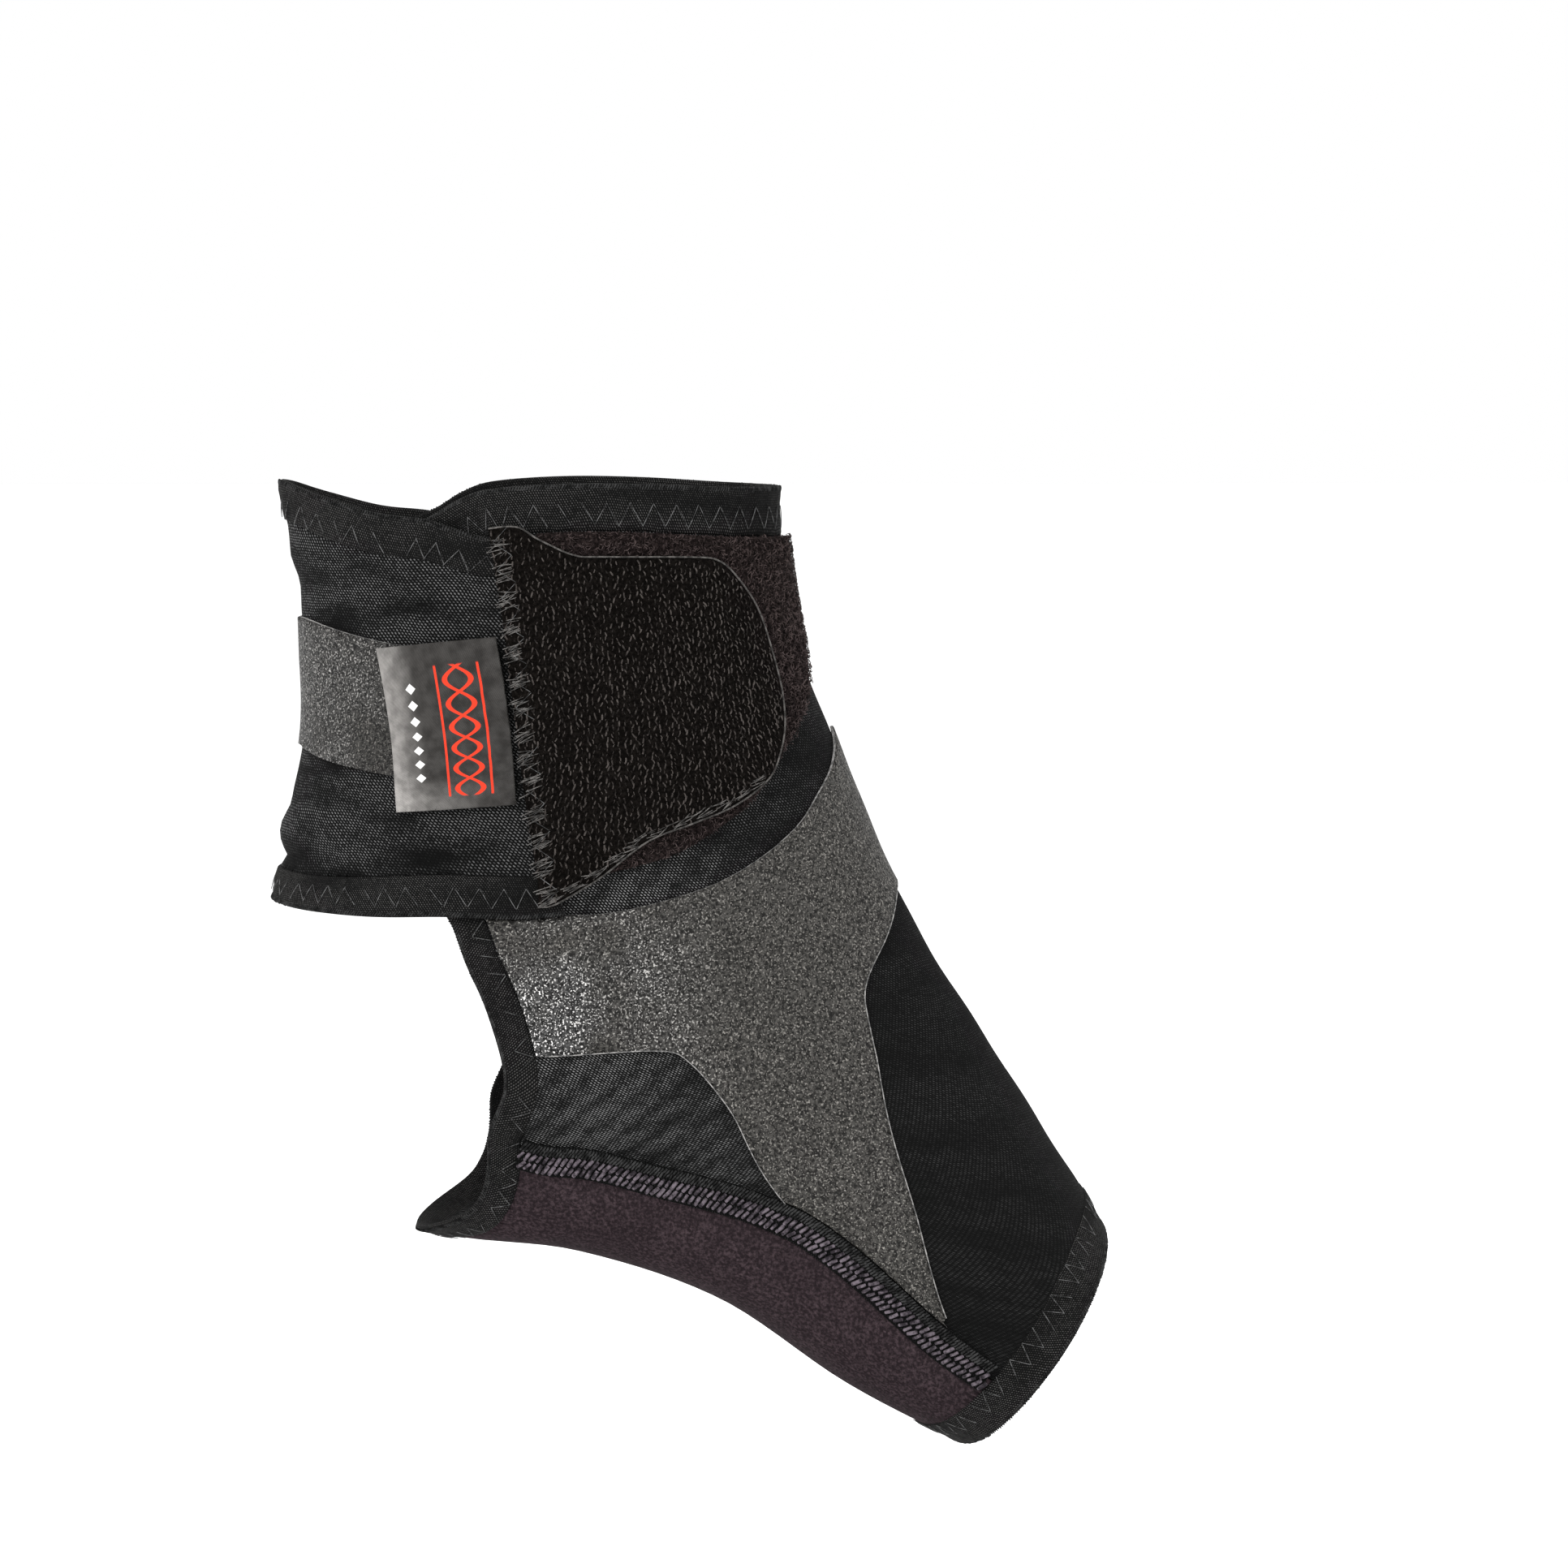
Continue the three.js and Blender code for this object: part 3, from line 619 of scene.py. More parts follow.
seam_ground = knit("seam_ground", 0.5, 0.8, grey(0.0025), grey(0.014), 0.2, 0.3)
label_satin = satin("label_satin")

# making pieces


def make_mesh(name, points, faces, finishes, slots, places, sharp=50):
    """A mesh object from points in metres, faces, and the cloth place of every face corner."""
    mesh = bpy.data.meshes.new(name)
    mesh.from_pydata(points.tolist(), [], faces)
    mesh.polygons.foreach_set("material_index", np.asarray(slots, dtype=np.int32))
    layer = mesh.uv_layers.new(name="cloth")
    layer.data.foreach_set("uv", (np.asarray(places) * MM).astype(np.float32).ravel())
    mesh.polygons.foreach_set("use_smooth", np.ones(len(faces), dtype=bool))
    mesh.set_sharp_from_angle(angle=math.radians(sharp))
    for finish in finishes:
        mesh.materials.append(finish)
    made = bpy.data.objects.new(name, mesh)
    bpy.context.scene.collection.objects.link(made)
    return made


# About how many millimetres of skin a degree and a row cover, and how many degrees a row counts
# for where the cloth is cut into triangles.
MM_PER_DEGREE, MM_PER_ROW, DEGREES_PER_ROW = 0.62, 15, 12


def sheet(name, borders, keep, inner, outer, finishes, folds, rounded, step, lines=(), place=None):
    """A closed thin sheet over the part of the plan that keep accepts. borders are the lines that
    cut it, rounded is the radius of its upper edge, finishes are for its face, back and walls."""
    every = [*borders, *lines]
    points, edges = [], []
    for one in every:
        start = len(points)
        points += one.tolist()
        edges += [(start + i, start + i + 1) for i in range(len(one) - 1)]
    spots = np.vstack(every)
    low, high = spots.min(0), spots.max(0)
    angle_step, row_step = step / MM_PER_DEGREE, step / MM_PER_ROW
    angles = np.arange(low[0] + angle_step / 2, high[0], angle_step)
    rows = np.arange(low[1] + row_step / 2, high[1], row_step)
    lattice = np.stack(np.meshgrid(angles, rows), -1).reshape(-1, 2)
    lattice = lattice[keep(lattice)]
    lattice = lattice[distance_to(lattice, every) > step * 0.5]
    insets = []
    for one in borders:
        for width in (0.35 * rounded, rounded):
            insets += [moved(one, width), moved(one, -width)]
    inset = np.vstack(insets)
    inset = inset[keep(inset)]
    inset = inset[distance_to(inset, borders) > 0.3 * rounded]
    points += lattice.tolist() + inset.tolist()
    scaled = [Vector((x, y * DEGREES_PER_ROW)) for x, y in points]
    found = delaunay_2d_cdt(scaled, edges, [], 0, 1e-5)
    plan = np.array([tuple(p) for p in found[0]]) / (1, DEGREES_PER_ROW)
    faces = np.array([list(face) for face in found[2]])
    faces = faces[keep(plan[faces].mean(1))]
    used, faces = np.unique(faces, return_inverse=True)
    plan, faces = plan[used], faces.reshape(-1, 3)
    one, two = plan[faces[:, 1]] - plan[faces[:, 0]], plan[faces[:, 2]] - plan[faces[:, 0]]
    area = one[:, 0] * two[:, 1] - one[:, 1] * two[:, 0]
    faces[area < 0] = faces[area < 0][:, ::-1]
    faces = faces[np.abs(area) > 1e-7]
    # A sheet that goes all the way round is joined where it meets itself.
    wrapped = np.where(plan[:, 0] < -179.999, plan[:, 0] + 360, plan[:, 0])
    keys = np.round(np.stack([wrapped, plan[:, 1]], -1), 4)
    first, joined = np.unique(keys, axis=0, return_index=True, return_inverse=True)[1:]
    joined = joined.reshape(-1)
    near = np.minimum(distance_to(plan[first], borders) / rounded, 1)
    drop = rounded * (1 - np.sqrt(np.maximum(1 - (1 - near) ** 2, 0)))
    lift = folds(plan[first]) if folds else 0
    top = above(plan[first], outer + lift - np.minimum(drop, (outer - inner) * 0.8))
    bottom = above(plan[first], inner + lift)
    n = len(first)
    index = joined[faces]
    around = {}
    for face, flat in zip(index, faces):
        for k in range(3):
            around[(face[k], face[(k + 1) % 3])] = (flat[k], flat[(k + 1) % 3])
    walls = [(e, flat) for e, flat in around.items() if (e[1], e[0]) not in around]
    all_faces = index.tolist() + (index + n)[:, ::-1].tolist()
    all_faces += [(b, a, a + n, b + n) for (a, b), _ in walls]
    spot = place(plan) if place else cloth_place(plan)
    uv = [spot[faces].reshape(-1, 2), spot[faces[:, ::-1]].reshape(-1, 2)]
    rims = [(spot[b], spot[a], spot[a] + 0.4, spot[b] + 0.4) for _, (a, b) in walls]
    uv.append(np.array(rims).reshape(-1, 2))
    slots = [0] * len(faces) + [1] * len(faces) + [2] * len(walls)
    return make_mesh(name, np.vstack([top, bottom]), all_faces, finishes, slots, np.vstack(uv))


def band(name, edge, profile, closed, base, finishes, folds=None, pucker=0.0, pitch=4.4):
    """A hem or seam swept along an edge. Its closed profile is a list of (inwards, height) in
    millimetres, counted from the edge, with the face first; pucker is how far the stitches draw
    the middle of the face down."""
    profile = np.array(profile)
    n, k = len(edge), len(profile)
    s = np.linspace(0, 1, n) * lengths(edge)[-1]
    width = profile[:, 0].max()
    rings, across = [], [0]
    for i, (inwards, height) in enumerate(profile):
        plan = moved(edge, inwards, closed)
        draw = pucker * math.sin(math.pi * inwards / width) if height > 0.5 else 0
        lift = folds(plan) if folds else 0
        wave = 0.5 + 0.5 * np.sin(2 * math.pi * s / pitch)
        rings.append(above(plan, base + height + lift - draw * wave))
        if i:
            across.append(across[-1] + np.linalg.norm(profile[i] - profile[i - 1]))
    across.append(across[-1] + np.linalg.norm(profile[0] - profile[-1]))
    points = np.stack(rings, 1).reshape(-1, 3)
    faces, uv = [], []
    for i in range(n if closed else n - 1):
        j = (i + 1) % n
        for a in range(k):
            b = (a + 1) % k
            faces.append((i * k + a, j * k + a, j * k + b, i * k + b))
            end = s[j] if j > i else s[i] + s[1]
            uv += [(s[i], across[a]), (end, across[a]), (end, across[a + 1]), (s[i], across[a + 1])]
    if not closed:
        caps = [list(range(k)), list(range((n - 1) * k, n * k))[::-1]]
        faces += caps
        uv += [(0, across[a]) for a in range(k)] + [(s[-1], across[a]) for a in range(k)][::-1]
    return make_mesh(name, points, faces, finishes, [0] * len(faces), uv, 60)


def yarn_profile(inwards, height, radius, sides):
    """The round profile of a band of yarn that has its middle at (inwards, height)."""
    turns = np.linspace(0, 2 * math.pi, sides + 1)[:-1]
    return [(inwards - radius * math.cos(t), height + radius * math.sin(t)) for t in turns]


def yarn_tree():
    """Geometry nodes: a short bent piece of yarn at each point, run and stood as the point says."""
    group = bpy.data.node_groups.new("yarn_pieces", "GeometryNodeTree")
    kinds = {
        "Points": "NodeSocketGeometry",
        "Length": "NodeSocketFloat",
        "Thickness": "NodeSocketFloat",
        "Arch": "NodeSocketFloat",
        "Steps": "NodeSocketInt",
        "Sides": "NodeSocketInt",
        "Turn": "NodeSocketFloat",
        "Tilt": "NodeSocketFloat",
        "Spread": "NodeSocketFloat",
        "Seed": "NodeSocketInt",
        "Yarn": "NodeSocketMaterial",
    }
    for name, kind in kinds.items():
        group.interface.new_socket(name, in_out="INPUT", socket_type=kind)
    group.interface.new_socket("Cloth", in_out="OUTPUT", socket_type="NodeSocketGeometry")
    g = Tree(group)
    points = g.add("NodeGroupInput")
    given = {name: g.other(points, name) for name in kinds}
    half = given["Length"] * 0.5
    corners = ((-half, 0.0), (0.0, given["Arch"] * 2), (half, 0.0))
    ends = [g.add("ShaderNodeCombineXYZ", None, {"X": x, "Z": z}) for x, z in corners]
    bent = {"Resolution": given["Steps"], "Start": ends[0], "Middle": ends[1], "End": ends[2]}
    path = g.add("GeometryNodeCurveQuadraticBezier", None, bent)
    girth = {"Resolution": given["Sides"], "Radius": given["Thickness"] * 0.5}
    ring = g.add("GeometryNodeCurvePrimitiveCircle", None, girth)
    piece = g.add("GeometryNodeCurveToMesh", None, {"Curve": path, "Profile Curve": ring})
    stored = {"data_type": "FLOAT_VECTOR"}
    run, out = (g.add("GeometryNodeInputNamedAttribute", stored, {"Name": name}) for name in ("run", "out"))
    stand = {"primary_axis": "Z", "secondary_axis": "X"}
    stood = g.add("FunctionNodeAxesToRotation", stand, {"Primary Axis": out, "Secondary Axis": run})
    amounts = [given["Tilt"], given["Tilt"], given["Turn"]]
    most = g.add("ShaderNodeCombineXYZ", None, dict(enumerate(amounts)))
    least = g.add("ShaderNodeCombineXYZ", None, dict(enumerate(-a for a in amounts)))
    chance = {"Min": least, "Max": most, "Seed": given["Seed"]}
    shake = g.add("FunctionNodeRandomValue", {"data_type": "FLOAT_VECTOR"}, chance)
    turning = {"Rotation": stood, "Rotate By": shake}
    turned = g.add("FunctionNodeRotateRotation", {"rotation_space": "LOCAL"}, turning)
    sizes = {2: 1 - given["Spread"], 3: 1 + given["Spread"], "Seed": given["Seed"] + 1}
    size = g.add("FunctionNodeRandomValue", {"data_type": "FLOAT"}, sizes, 1)
    placed = {"Points": given["Points"], "Instance": piece, "Rotation": turned, "Scale": size}
    many = g.add("GeometryNodeInstanceOnPoints", None, placed)
    real = g.add("GeometryNodeRealizeInstances", None, {"Geometry": many})
    done = g.add("GeometryNodeSetMaterial", None, {"Geometry": real, "Material": given["Yarn"]})
    g.add("NodeGroupOutput", None, {"Cloth": done})
    return group


YARN = yarn_tree()


def yarns(name, places, runs, outs, **given):
    """One object of yarn pieces at places, from the node tree, as a plain mesh."""
    mesh = bpy.data.meshes.new(name + "_points")
    mesh.from_pydata(places.tolist(), [], [])
    for key, vectors in (("run", runs), ("out", outs)):
        layer = mesh.attributes.new(key, "FLOAT_VECTOR", "POINT")
        layer.data.foreach_set("vector", np.asarray(vectors, dtype=np.float32).ravel())
    carrier = bpy.data.objects.new(name + "_points", mesh)
    bpy.context.scene.collection.objects.link(carrier)
    modifier = carrier.modifiers.new("yarn", "NODES")
    modifier.node_group = YARN
    for socket in YARN.interface.items_tree:
        if socket.in_out == "INPUT" and socket.name in given:
            modifier[socket.identifier] = given[socket.name]
    shown = carrier.evaluated_get(bpy.context.evaluated_depsgraph_get())
    result = bpy.data.meshes.new_from_object(shown)
    result.name = name
    result.polygons.foreach_set("use_smooth", np.ones(len(result.polygons), dtype=bool))
    made = bpy.data.objects.new(name, result)
    bpy.context.scene.collection.objects.link(made)
    bpy.data.objects.remove(carrier)
    return made


def unit(vectors):
    return vectors / np.linalg.norm(vectors, axis=-1, keepdims=True)


def directed(plan, angle):
    """Directions over the cloth, angle degrees from the way round towards the way down."""
    round_, down = slopes(plan)
    angle = np.radians(np.broadcast_to(angle, len(plan)))[:, None]
    return unit(unit(round_) * np.cos(angle) + unit(down) * np.sin(angle))


def worn(piece, nodes):
    """Ties a piece to the one body and hides the CAD nodes that it stands for."""
    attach(piece, "root")
    if nodes:
        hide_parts(*nodes)
    return piece


# lines that several pieces share

top_ring = round_front(even(line(TOP_EDGE), 1.2))[:-1]
toe_ring = round_front(even(line([(TOE_ROW, angle) for angle in range(0, 181, 30)]), 1.2))[:-1]
hole_ring = round_back(even(line(HEEL_HOLE), 1.1))[:-1]
seam_line = even(line(SOLE_SEAM), 1.2)
strap_top, strap_bottom = round_back(line(STRAP_TOP)), round_back(line(STRAP_BOTTOM))
strap_end = line(STRAP_END)


def ring_line(ring, width):
    """A ring round the leg moved by a width, as a line from -180 to 180 degrees."""
    made = moved(ring, width, True)
    return np.vstack([made, made[:1] + (360, 0)])


def on_back(plan):
    """The same line for a plan that goes on past the back, from 0 to 360 degrees."""
    return np.vstack([plan, plan[1:] + (360, 0)])


def row_at(plan, edge):
    """The row of a line at the angles of plan points."""
    return np.interp(plan[:, 0], edge[:, 0], edge[:, 1])


def between(plan, upper, lower):
    """Whether plan points lie below one line and above another."""
    return (plan[:, 1] > row_at(plan, upper)) & (plan[:, 1] < row_at(plan, lower))


def inside_of(outline):
    return lambda plan: within(plan, outline)


def hole_outline(width):
    return moved(hole_ring, width, True)


def hole_half(width):
    return hole_outline(width)[: len(hole_ring) // 2 + 1]


def sole_outline(width):
    edge = moved(seam_line, width)
    return np.vstack([edge, other_side(edge)[::-1]])


def at_back(plan, outline):
    """Whether plan points lie in an outline at the back, met from either side."""
    return within(plan, outline) | within(plan + (360, 0), outline)


def cut(plan, low, high):
    """The stretch of a line between two angles."""
    return plan[(plan[:, 0] >= low) & (plan[:, 0] <= high)]


def both(plan):
    return [plan, mirrored(plan)]


TUCK = 0.4  # how far a cloth reaches under the hem that binds it
HALF_JOIN = 0.1  # half the gap between the sleeve and the sole, under their seam
INTO_GAP = 0.15  # how far a film or label reaches down into the gap under it

# sleeve and sole


def make_sleeve():
    top, toe = ring_line(top_ring, TOP_HEM - TUCK), ring_line(toe_ring, TUCK - TOE_HEM)
    hole, sole = hole_outline(BINDING - TUCK), sole_outline(HALF_JOIN)

    def keep(plan):
        inside = (np.abs(plan[:, 0]) < 180) & between(plan, top, toe)
        return inside & ~at_back(plan, hole) & ~at_back(plan, sole)

    half = hole_half(BINDING - TUCK)
    rows = np.linspace(top[0, 1], half[0, 1], 34)
    back = [np.stack([np.full(len(rows), side), rows], -1) for side in (-180.0, 180.0)]
    borders = [top, toe, *both(half), *both(moved(seam_line, HALF_JOIN))]
    finishes = [sleeve_knit, lining, hem_knit]
    piece = sheet("sleeve_cloth", borders, keep, 0, CLOTH, finishes, sleeve_folds, 0.2, 1.9, back)
    return worn(piece, ["sleeve"])


def make_sole():
    toe = on_back(ring_line(toe_ring, TUCK - TOE_HEM))
    sole, hole = sole_outline(-HALF_JOIN), hole_outline(BINDING - TUCK)

    def keep(plan):
        return within(plan, sole) & ~within(plan, hole) & (plan[:, 1] < row_at(plan, toe))

    seam = moved(seam_line, -HALF_JOIN)
    borders = [cut(toe, 85, 275), np.vstack([hole, hole[:1]]), seam, other_side(seam)]
    piece = sheet("sole_cloth", borders, keep, 0, CLOTH, [sole_knit, lining, sole_knit], None, 0.2, 2.0)
    return worn(piece, ["sole_panel"])


# Closed profiles of the bands: how far in from the edge, and how high, in millimetres.
FOLDED_HEM = [(0.0, 0.8), (0.12, 1.2), (0.45, 1.5), (1.0, 1.62), (2.0, 1.6), (3.2, 1.48), (4.4, 1.5)]
FOLDED_HEM += [(5.8, 1.56)]
# How it ends at its inner side: how far from there, and how high as a share of its height.
HEM_END = [(1.1, 1.0), (0.45, 0.97), (0.08, 0.86), (0.0, 0.7)]


def hem_profile(width):
    """A folded edge: round at the free side, a little dished where it is stitched."""
    face = [(inwards, height) for inwards, height in FOLDED_HEM if inwards < width - 1.6]
    face += [(width - inwards, BOUND * share) for inwards, share in HEM_END]
    return face + [(width, 0.06), (width * 0.5, 0.0), (0.5, 0.06), (0.1, 0.35)]


def make_hem(name, edge, width, closed, base, node, folds):
    piece = band(name, edge, hem_profile(width), closed, base, [hem_knit], folds, 0.22)
    worn(piece, [node])


def zigzag(name, edge, low, high, pitch, base, closed, folds=None, chance=0.0, seed=3):
    """The zigzag seam of a hem: straight stitches that run to and fro between two distances from
    the edge. chance is the share of stitches that have sunk into the cloth."""
    whole = np.vstack([edge, edge[:1]]) if closed else edge
    n = int(lengths(whole)[-1] / pitch * 2)
    near, far = moved(edge, low, closed), moved(edge, high, closed)
    s = lengths(edge)
    at = np.linspace(0, s[-1], n + 1)
    ends = []
    for i, place in enumerate(at):
        track = far if i % 2 else near
        ends.append([np.interp(place, s, track[:, 0]), np.interp(place, s, track[:, 1])])
    ends = np.array(ends)
    first, last = ends[:-1], ends[1:]
    if chance:
        kept = np.random.default_rng(seed).random(len(first)) > chance
        first, last = first[kept], last[kept]
    middle = (first + last) / 2
    heights = base + (folds(middle) if folds else 0)
    a, b = above(first, heights), above(last, heights)
    run = b - a
    places, outs = above(middle, heights), outward(middle)
    length = float(np.linalg.norm(run, axis=1).mean())
    given = {"Length": length * 0.96, "Thickness": 0.16 * MM, "Arch": 0.12 * MM, "Steps": 4, "Sides": 5}
    given |= {"Turn": 0.06, "Tilt": 0.0, "Spread": 0.05, "Seed": seed, "Yarn": hem_yarn}
    return yarns(name, places, unit(run), outs, **given)


def ribs(name, edge, inwards, height, pitch, closed, folds=None, lean=62, seed=5):
    """The small slanting ribs of the bound knit along a free edge."""
    track = even(moved(edge, inwards, closed), pitch)
    lift = folds(track) if folds else 0
    run = directed(track, lean)
    given = {"Length": 1.0 * MM, "Thickness": 0.32 * MM, "Arch": 0.1 * MM, "Steps": 2, "Sides": 4}
    given |= {"Turn": 0.12, "Tilt": 0.08, "Spread": 0.15, "Seed": seed, "Yarn": rib_yarn}
    return yarns(name, above(track, height + lift), run, outward(track), **given)


def make_hems():
    toe_edge = toe_ring[::-1]
    top_edge = even(cut(strap_top, 93.5, 266.5), 1.1)
    bottom_edge = even(cut(strap_bottom, 82.5, 277.5)[::-1], 1.1)
    hems = [
        ("top_hem", top_ring, TOP_HEM, True, 0, "sleeve_top_hem", sleeve_folds),
        ("toe_hem_fold", toe_edge, TOE_HEM, True, 0, "toe_hem", sleeve_folds),
        ("heel_edge", hole_ring, BINDING, True, 0, "heel_binding", None),
        ("strap_upper_hem", top_edge, STRAP_TOP_HEM, False, ON_HEM, "strap_top_hem", strap_folds),
        ("strap_lower_hem", bottom_edge, STRAP_BOTTOM_HEM, False, ON_HEM, "strap_bottom_hem", strap_folds),
    ]
    for hem in hems:
        make_hem(*hem)
    stitches = [
        ("top_hem_zigzag", top_ring, 3.6, 7.3, 4.7, 1.56, True, sleeve_folds, 0.12),
        ("toe_hem_zigzag", toe_edge, 3.9, 8.0, 4.0, 1.52, True, sleeve_folds, 0.3),
        ("heel_edge_zigzag", hole_ring, 3.0, 6.2, 3.8, 1.55, True, None, 0.35),
        ("strap_upper_zigzag", top_edge, 3.5, 6.7, 4.5, ON_HEM + 1.55, False, strap_folds, 0.15),
        ("strap_lower_zigzag", bottom_edge, 1.9, 6.0, 4.4, ON_HEM + 1.6, False, strap_folds, 0.15),
    ]
    for i, (name, edge, low, high, pitch, base, closed, folds, chance) in enumerate(stitches):
        worn(zigzag(name, edge, low, high, pitch, base, closed, folds, chance, 3 + i), [])
        row = ribs(name.replace("zigzag", "ribs"), edge, 0.5, base - 0.12, 0.55, closed, folds)
        worn(row, [])


# sole seams

SEAM_PROFILE = [(-3.0, 0.1), (-2.9, 0.6), (-2.5, 1.05), (-1.9, 1.2), (-1.35, 1.0), (-1.0, 0.72), (0.4, 0.8)]
SEAM_PROFILE += [(1.6, 0.76), (2.5, 0.6), (2.95, 0.3), (3.0, 0.0), (0.0, -0.05), (-2.95, 0.0)]
# How far each row of stitches lies from the middle of the seam, how high, and its shift along it.
RIDGE_ROWS = [(-2.45, 1.02, 0.0), (-1.75, 1.12, 0.5)]
SEAM_ROWS = [(-0.35, 0.74, 0.5), (1.5, 0.72, 0.0)]


def make_seam(side, node):
    toe = ring_line(toe_ring, -TOE_HEM - 0.4)
    run = seam_line[seam_line[:, 1] < row_at(seam_line, toe)]
    run = even(run[~within(run, hole_outline(BINDING - 0.6))], 0.9)
    edge = run[::-1] if side == "medial" else other_side(run)
    piece = band(side + "_flat_seam", edge, SEAM_PROFILE, False, ON_SLEEVE, [seam_ground], None)
    worn(piece, [node])
    lean = 0.9 if side == "medial" else -0.9
    kinds = [
        ("ridge_stitches", RIDGE_ROWS, 0.62, 1.0, 0.4, rib_yarn),
        ("seam_stitches", SEAM_ROWS, 1.2, 1.75, 0.72, seam_yarn),
    ]
    for kind, rows, pitch, length, thickness, yarn in kinds:
        places, runs, outs = [], [], []
        for inwards, height, shift in rows:
            track = even(moved(edge, inwards), pitch)
            track = track[:-1] + (track[1:] - track[:-1]) * shift
            out = outward(track)
            along = unit(np.gradient(above(track, 0), axis=0))
            places.append(above(track, ON_SLEEVE + height))
            runs.append(unit(along * 0.5 + np.cross(out, along) * lean))
            outs.append(out)
        given = {"Length": length * MM, "Thickness": thickness * MM, "Arch": 0.22 * MM, "Steps": 4}
        given |= {"Sides": 6, "Turn": 0.18, "Tilt": 0.12, "Spread": 0.16, "Seed": 11, "Yarn": yarn}
        stitches = yarns(f"{side}_{kind}", *(np.vstack(v) for v in (places, runs, outs)), **given)
        worn(stitches, [])


# strap


def make_strap():
    top = moved(strap_top, STRAP_TOP_HEM - TUCK)
    bottom = moved(strap_bottom, TUCK - STRAP_BOTTOM_HEM)
    ends = [strap_end, other_side(strap_end)]
    outline = np.vstack([ends[0], ends[1][::-1]])

    def keep(plan):
        return within(plan, outline) & between(plan, top, bottom)

    spot = (ON_HEM, ON_HEM + STRAP)
    finishes = [strap_knit, lining, strap_knit]
    piece = sheet("strap_cloth", [top, bottom, *ends], keep, *spot, finishes, strap_folds, 0.2, 1.5)
    return worn(piece, ["rear_strap"])


# grip film


def make_foot_film():
    half = np.vstack([line(run) for run in (FILM_RIGHT, FILM_BELOW, FILM_LEFT, FILM_TOP)])
    outline = np.vstack([half, mirrored(half)])
    hole = hole_outline(BINDING + 0.1)
    edges = [moved(seam_line, w) for w in (SEAM_BAND / 2 + 0.1, -SEAM_BAND / 2)]
    seam = np.vstack([edges[0], edges[1][::-1]])
    hem = moved(line(STRAP_BOTTOM), 0.1)
    under = np.vstack([hem, moved(line(STRAP_BOTTOM), -STRAP_BOTTOM_HEM)[::-1]])

    def keep(plan):
        right = np.stack([np.abs(plan[:, 0]), plan[:, 1]], -1)
        return within(plan, outline) & ~within(right, hole) & ~within(right, seam) & ~within(right, under)

    borders = [line(run) for run in (FILM_RIGHT, FILM_BELOW, FILM_LEFT, FILM_TOP)]
    borders += [edges[0], cut(hole, 90, 130), hem]
    borders += [mirrored(one) for one in borders]
    finishes = [grip_film, grip_film, film_edge]
    spot = (ON_SLEEVE - INTO_GAP, ON_SLEEVE + PRINT)
    piece = sheet("foot_film", borders, keep, *spot, finishes, sleeve_folds, 0.25, 1.8)
    rim = yarn_profile(0.0, PRINT - 0.07, 0.11, 5)
    rear = line(FILM_LEFT, 12)
    rear = rear[~within(rear, hole_outline(BINDING + 0.5))]
    for label, run in (("front", line(FILM_RIGHT)), ("rear", rear)):
        for side, edge in (("inner", run), ("outer", mirrored(run))):
            name = f"film_rim_{label}_{side}"
            made = band(name, even(edge, 1.2), rim, False, ON_SLEEVE, [film_edge], sleeve_folds)
            worn(made, [])
    return worn(piece, ["foot_grip_film"])


def make_strap_film():
    top, bottom = round_back(line(STRAP_FILM_TOP)), round_back(line(STRAP_FILM_BOTTOM))
    ends = [np.linspace(top[0], bottom[0], 20), np.linspace(top[-1], bottom[-1], 20)]
    outline = np.vstack([top, bottom[::-1]])
    finishes = [strap_print, strap_print, film_edge]
    borders = [top, bottom, *ends]
    spot = (ON_STRAP - INTO_GAP, ON_STRAP + PRINT)
    piece = sheet("strap_film", borders, inside_of(outline), *spot, finishes, strap_folds, 0.25, 1.5)
    return worn(piece, ["strap_grip_film"])


# loop panel, hook tab and label


def scatter(keep, low, high, columns, rows, seed, jitter):
    """Plan points in staggered columns and rows, in degrees and rows, each moved a little."""
    chance = np.random.default_rng(seed)
    across, down = np.arange(low[0], high[0], columns), np.arange(low[1], high[1], rows)
    plan = np.stack(np.meshgrid(across, down, indexing="ij"), -1)
    plan[1::2, :, 1] += rows / 2
    plan = plan.reshape(-1, 2)
    plan = plan + chance.uniform(-1, 1, plan.shape) * (columns * jitter, rows * jitter)
    return plan[keep(plan)]


loop_outline = np.vstack([line(run) for run in (LOOP_TOP, LOOP_EDGE, LOOP_BACK)])
tab_outline = np.vstack([line(run) for run in (TAB_TOP, TAB_BACK)])
ON_LOOP = ON_SLEEVE + PILE
TAB_BASE = max(ON_STRAP_HEM, ON_LOOP + GAP)


def tab_folds(plan):
    """The tab lies over the strap, its hem and the loop panel, so it swells a little over each."""
    swell = 0.35 * np.exp(-(((plan[..., 0] - 92) / 5) ** 2))
    return swell + bumps(plan, [(1.5, 85, 0.4, 9, 0.25), (4.9, 84, 0.4, 7, 0.35), (3.0, 60, 1.2, 16, 0.3)])


